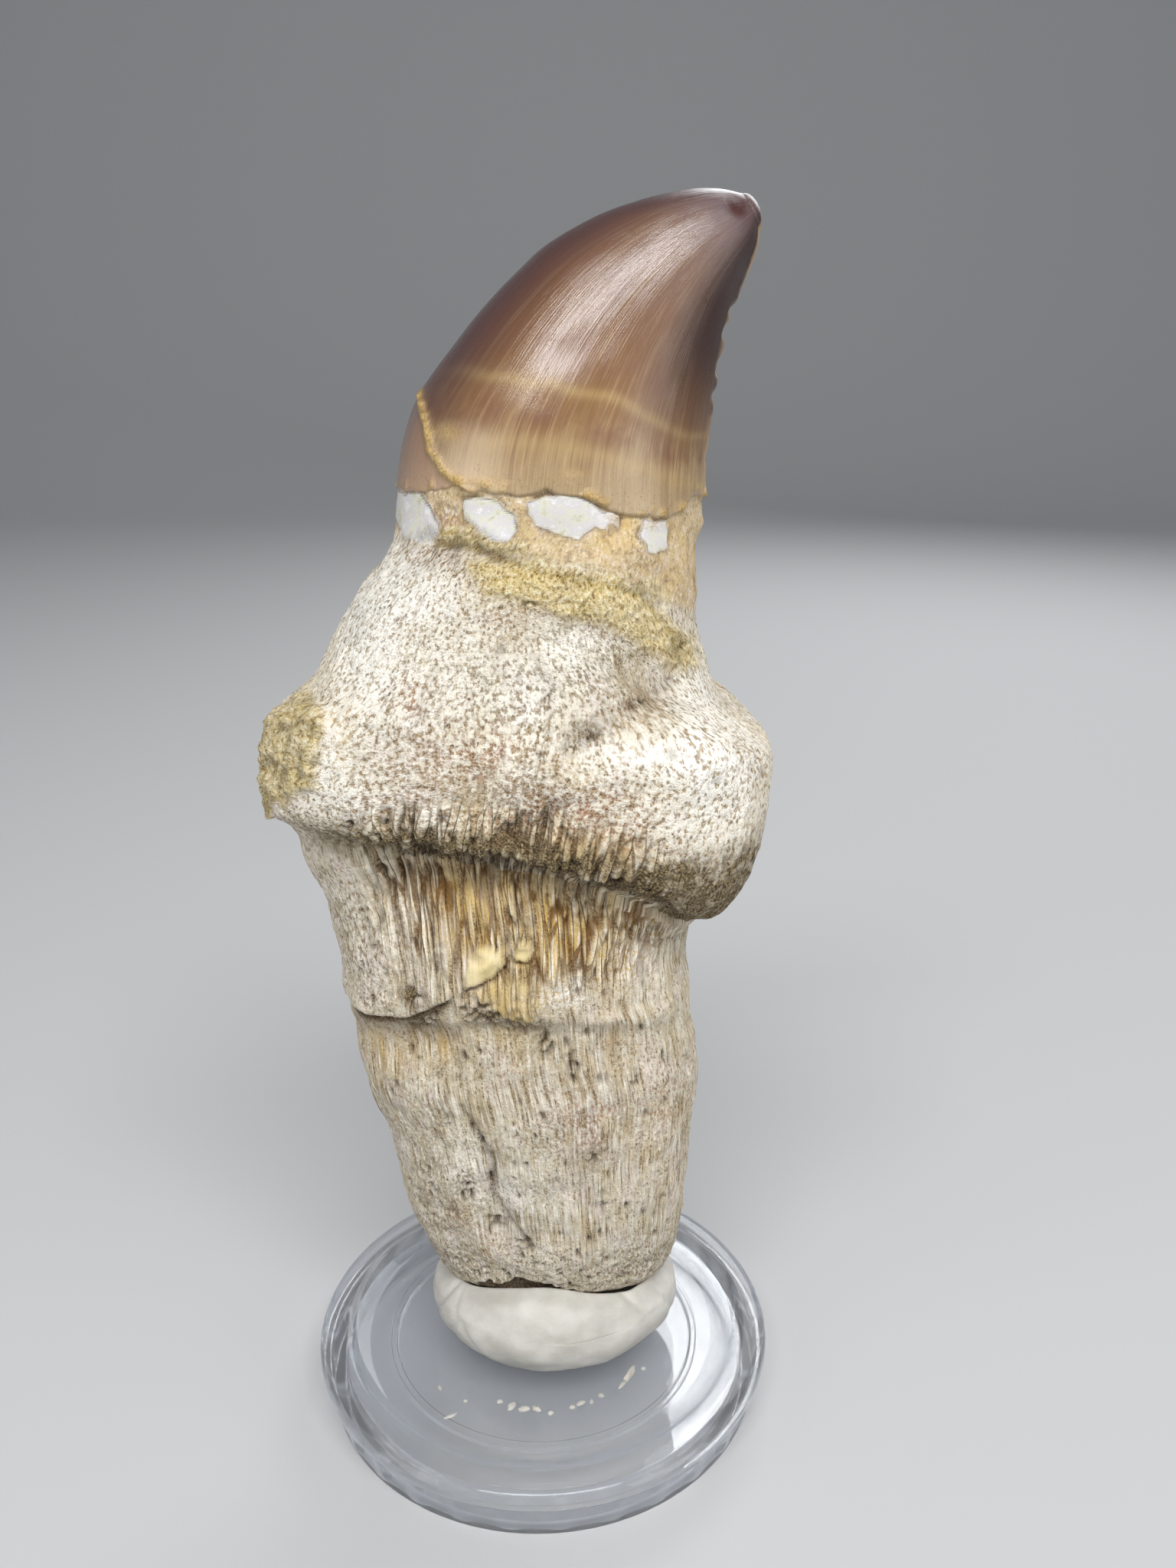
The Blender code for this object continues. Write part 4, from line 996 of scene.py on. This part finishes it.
swelling_marks = {"growth": growth, "hollow": hollow, "grime_and_shade": grime_and_shade, "chalk": chalk,
                  "olive": kept_share(olive),
                  "honey": kept_share(honey * (0.6 + 0.6 * patchy) + yellow_neck),
                  "rust": kept_share(rust * (0.45 + 0.9 * patchy)),
                  "bleach_and_light": kept_share(bleach_and_light * (0.75 + 0.4 * patchy)),
                  "spongy": kept_share(1.0 - 0.6 * lined - 0.5 * fringe - underside * combed),
                  "fibrous": kept_share((0.9 * fringe + underside * combed) * bony),
                  "neck": neck * (1.0 - chalk) * (1.0 - 0.9 * neck_strip),
                  "sand": kept_share(sandy * (0.6 + 0.5 * patchy)) * (1.0 - 0.8 * yellow_neck)}
swelling = raise_skin(swelling, rise)
swelling_foot, swelling_top = swelling[0].mean(axis=0), swelling[-1].mean(axis=0)
root_swelling = skin("root_swelling", swelling, swelling_foot, swelling_top, swelling_marks)
root_swelling.data.materials.append(bone)
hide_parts("tooth")
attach(root_swelling, "root")


# The crown: a hooked cone of brown enamel over dentine, worn blunt at the tip. Fine ridges run up it and
# paler growth bands cross it, a crack low on the left is filled with raised yellow matrix, and the
# cutting edge on the hollow side has lost small chips. Its enamel is a thin skin that ends at the neck.
enamel_thickness = 0.24
crown_tip = np.array([15.25, 0.0, 96.8])
crown_foot_ring, crown_top_ring = 27.6, 39.0
crown_half_width = 11.0
crown_places = even_places(crown_foot_ring, crown_top_ring, 0.19)
crown_angles = even_angles(330, crown_half_width, 9.3, crown_squareness)
crown, place, angle, across, deep, along = tooth_form(crown_places, crown_angles)
dome_parts = np.radians([12.0, 24.0, 36.0, 48.0, 60.0, 72.0, 82.0])[:, None, None]
rim_middle = crown[-1].mean(axis=0)
dome = rim_middle + (crown[-1] - rim_middle) * np.cos(dome_parts)
dome += (crown_tip - rim_middle) * np.sin(dome_parts)
crown = np.concatenate([crown, dome])


def with_dome(values, step=0.0):
    """Carries a grid's last ring on over the rounded tip."""
    return np.concatenate([values] + [values[-1:] + step * number for number in range(1, len(dome) + 1)])


place, angle, across, deep = with_dome(place, 0.05), with_dome(angle), with_dome(across), with_dome(deep)
growth = np.stack([across * crown_half_width, deep * 9.0, with_dome(along, 0.1)], axis=-1)
x, z = crown[..., 0], crown[..., 2]
front, back = soft_step(0.0, 0.25, -deep), soft_step(0.0, 0.25, deep)
crumbly = grain(crown / 0.6, 90)
over_edge = z - edge_height(enamel_edge, back_enamel_edge) + 0.14 * crumbly
enamel = soft_step(-0.12, 0.14, over_edge)

crack = [(-7.5, 84.9), (-7.2, 84.2), (-6.7, 83), (-6.4, 81.4), (-5.5, 80.2), (-4.6, 79.5), (-4.2, 79)]
crack_fill = front * bell(to_line(crack, x + 0.12 * crumbly, z), 0.30) * (0.75 + 0.5 * grain(crown / 0.5, 91))
crack_x = np.interp(z, [79.0, 80.2, 81.4, 83.0, 84.9], [-4.2, -5.5, -6.4, -6.7, -7.5])
left_of_crack = front * soft_step(0.0, 0.5, crack_x - x) * soft_step(85.6, 84.6, z)
chip_scar = stains([(-5.2, 82.6, 0.8, 0.5, 0.8), (3, 80.2, 0.8, 0.3, 0.5), (-2, 79.6, 0.7, 0.3, 0.6)])
edge_crust = soft_step(1.0, 0.1, over_edge) * soft_step(0.0, 0.5, grain(crown / 0.9, 92))
on_carina = bell(turn_between(angle, 0.0), 7.0)
nicks = on_carina * spots(x, z, [
    (12.8, 88.9, 9, 0.45, 1), (12.6, 86.6, 9, 0.6, 0.8), (12.3, 84.6, 9, 0.4, 0.5),
    (13.2, 90.3, 9, 0.35, 0.6), (12.1, 80.4, 9, 0.5, 0.3),
])
back_crack = [(3, 79.2), (2.6, 81), (3.2, 83), (2.8, 85.2), (3.4, 87)]
hair_crack = back * bell(to_line(back_crack, x + 0.2 * crumbly, z), 0.12)
wear = np.exp(-(np.linalg.norm(crown - [13.6, -1.6, 96.5], axis=-1) / 0.85) ** 6)
ridges = grain(growth / [0.42, 0.42, 30.0], 94)
facets = grain(growth / [2.2, 2.2, 30.0], 97)

crack_fill_height, nick_depth, scar_depth, hair_crack_depth = 0.26, 0.6, 0.12, 0.10
fade_tip = soft_step(crown_top_ring, 36.0, place)
waves = 0.035 * facets * soft_step(29.0, 31.0, place) + 0.045 * grain(crown / 2.4, 98)
rise = 0.008 * ridges + fade_tip * waves
rise += enamel_thickness - 0.10 * left_of_crack + 0.10 * edge_crust * (1.0 + crumbly)
rise *= enamel
rise -= 1.1 * (1.0 - enamel) * soft_step(0.0, -0.3, over_edge)
rise += crack_fill_height * crack_fill - scar_depth * chip_scar - hair_crack_depth * (hair_crack + wear)
rise -= nick_depth * nicks * (1.0 + 0.4 * crumbly)
matrix = crack_fill * 1.3 + 0.8 * edge_crust * enamel + 0.5 * chip_scar + 0.9 * nicks
grown = place + 0.75 * soft_step(0.1, 1.0, across) + 0.07 * facets + 0.10 * grain(crown / 2.6, 100)


def bands(listed):
    """Growth bands across the crown: the growth ring, half width and strength of each."""
    return kept_share(sum(strength * bell(grown - ring, wide) for ring, wide, strength in listed))


crown_marks = {"growth": growth, "across": across, "up_crown": (place - 28.0) / 11.0, "wear": wear,
               "matrix": kept_share(matrix), "band": bands([(31.9, 0.15, 1.0), (30.3, 0.26, 0.8)]),
               "brown_band": bands([(31.1, 0.40, 1.0), (32.7, 0.5, 0.7)]),
               "carina": on_carina, "left_scar": left_of_crack}
crown = raise_skin(crown, rise)
worn_tip = crown_tip - [0.08, 0.0, 0.02]
enamel_crown = skin("enamel_crown", crown, crown[0].mean(axis=0), worn_tip, crown_marks)

finish, shader = new_finish("brown_enamel")
growth_at = add_node("Attribute", {}, attribute_name="growth").outputs["Vector"]
cloud = mottled(growth_at, (2.4, 2.4, 4.0), 5.0, 0.6)
streak = mottled(growth_at, (0.55, 0.55, 14.0), 3.0, 0.6)
stria = mottled(growth_at, (0.13, 0.13, 5.0), 3.0, 0.6)
speck = mottled(growth_at, (0.16, 0.16, 0.22), 4.0, 0.7)
up, side, band, brown_band = [mark(name) for name in ("up_crown", "across", "band", "brown_band")]
carina, left_scar, matrix, wear = [mark(name) for name in ("carina", "left_scar", "matrix", "wear")]
fine_low = faded(up, 0.15, 0.5, 1.0, 0.45)
matrix_colour = shades(speck, [(0.3, 124, 92, 46), (0.5, 190, 156, 88), (0.7, 224, 198, 136)])
colour = laid_over(
    shades(sum_of(up, sum_of(-0.5, cloud), 0.22), [
        (0.02, 162, 142, 110), (0.14, 154, 131, 97), (0.30, 128, 95, 60), (0.48, 110, 76, 48),
        (0.68, 106, 78, 62), (0.86, 96, 78, 80), (1.0, 80, 58, 60)]),
    ((112, 76, 54), times(brown_band, faded(cloud, 0.36, 0.6), 0.7)),
    ((172, 146, 98), times(band, 0.45)),
    ((168, 142, 110), times(faded(streak, 0.52, 0.70), 0.25)),
    ((104, 70, 48), times(faded(streak, 0.48, 0.32), 0.30)),
    ((196, 172, 130), times(faded(stria, 0.54, 0.70, 0.0, 0.32), fine_low)),
    ((90, 58, 42), times(faded(stria, 0.46, 0.32, 0.0, 0.30), fine_low)),
    ((206, 180, 144), times(faded(side, -0.05, -0.55), faded(up, 0.26, 0.06), 0.6)),
    ((66, 37, 34), times(faded(side, -0.42, -0.94), faded(up, 0.0, 0.42, 0.30, 1.0), 0.95)),
    ((48, 30, 27), times(faded(side, 0.30, 0.80), faded(up, 0.15, 0.55, 0.0, 0.95))),
    ((188, 160, 124), times(carina, faded(cloud, 0.40, 0.60), 0.8)),
    ((150, 116, 98), times(left_scar, 0.45)),
    ((132, 92, 54), times(faded(speck, 0.56, 0.66), faded(up, 0.22, 0.06), 0.8)),
    (matrix_colour, matrix),
    ((62, 22, 17), times(wear, 0.95)))
rubbed = faded(side, 0.02, 0.28)
shine = sum_of(sum_of(faded(cloud, 0.35, 0.65, 0.16, 0.27), matrix, 0.5), rubbed, 0.10)
height = sum_of(sum_of(times(stria, 0.026), streak, 0.014), speck, 0.008)
relief = bumps(sum_of(height, times(speck, matrix), 0.30), 0.8, MM)
join(shader, {"Base Color": colour, "Roughness": shine, "Specular IOR Level": 0.42, "Normal": relief,
              "Coat Weight": faded(rubbed, 0.0, 1.0, 0.5, 0.12), "Coat Roughness": 0.13,
              "Coat Normal": relief})
enamel_crown.data.materials.append(finish)
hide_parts("tooth")
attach(enamel_crown, "root")


# The studio: a pale paper sweep that runs back level and then curves up, lit by a wide soft box overhead
# in front, weaker ones on the left, right and behind, and a pale room. The camera looks a little down.
sweep_width, sweep_front, sweep_back, sweep_bend = 1.6, -0.7, 0.55, 0.35
sweep_line = [(sweep_front, 0.0), (sweep_back, 0.0)]
for step in range(1, 17):
    lean = math.radians(90.0 * step / 16.0)
    sweep_line.append((sweep_back + sweep_bend * math.sin(lean), sweep_bend * (1.0 - math.cos(lean))))
sweep_line.append((sweep_back + sweep_bend, 1.4))
corners = [(side * sweep_width, y, z) for y, z in sweep_line for side in (-0.5, 0.5)]
faces = [(2 * n, 2 * n + 1, 2 * n + 3, 2 * n + 2) for n in range(len(sweep_line) - 1)]
paper_mesh = bpy.data.meshes.new("paper_sweep")
paper_mesh.from_pydata(corners, [], faces)
paper_mesh.shade_smooth()
paper_sweep = bpy.data.objects.new("paper_sweep", paper_mesh)
bpy.context.scene.collection.objects.link(paper_sweep)
finish, shader = new_finish("pale_paper")
join(shader, {"Base Color": paint(186, 186, 186), "Roughness": 0.85})
paper_mesh.materials.append(finish)

room = bpy.data.worlds.new("pale_room")
room.use_nodes = True
sky = room.node_tree.nodes["Background"].inputs
sky["Color"].default_value = (0.86, 0.89, 0.95, 1.0)
sky["Strength"].default_value = 0.30
bpy.context.scene.world = room


def soft_box(name, place, wide, tall, power, colour):
    """A soft light that faces the middle of the tooth."""
    light = bpy.data.lights.new(name, "AREA")
    light.shape = "RECTANGLE"
    light.size = wide
    light.size_y = tall
    light.energy = power
    light.color = colour
    box = bpy.data.objects.new(name, light)
    box.location = place
    box.rotation_euler = (Vector((0.0, 0.0, 0.06)) - Vector(place)).to_track_quat("-Z", "Y").to_euler()
    bpy.context.scene.collection.objects.link(box)


soft_box("key_soft_box", (0.02, -0.28, 0.41), 0.42, 0.10, 2.3, (0.985, 0.99, 1.0))
soft_box("left_soft_box", (-0.34, -0.26, 0.16), 0.30, 0.30, 0.5, (0.99, 0.99, 0.99))
soft_box("right_soft_box", (0.36, -0.24, 0.10), 0.30, 0.24, 0.7, (0.99, 0.99, 0.99))
soft_box("back_soft_box", (0.16, 0.36, 0.30), 0.26, 0.26, 0.9, (0.96, 0.98, 1.0))

focal_pixels, frame_height_pixels, camera_tilt = 1700.0, 2048.0, 19.3
lens = bpy.data.cameras.new("camera")
lens.sensor_width = 36.0
lens.lens = focal_pixels / frame_height_pixels * lens.sensor_width
lens.clip_start = 0.005
camera = bpy.data.objects.new("camera", lens)
camera.location = (0.0047, -0.0957, 0.0891)
camera.rotation_euler = (math.radians(90.0 - camera_tilt), 0.0, 0.0)
bpy.context.scene.collection.objects.link(camera)
bpy.context.scene.camera = camera
bpy.context.scene.view_settings.view_transform = "Standard"
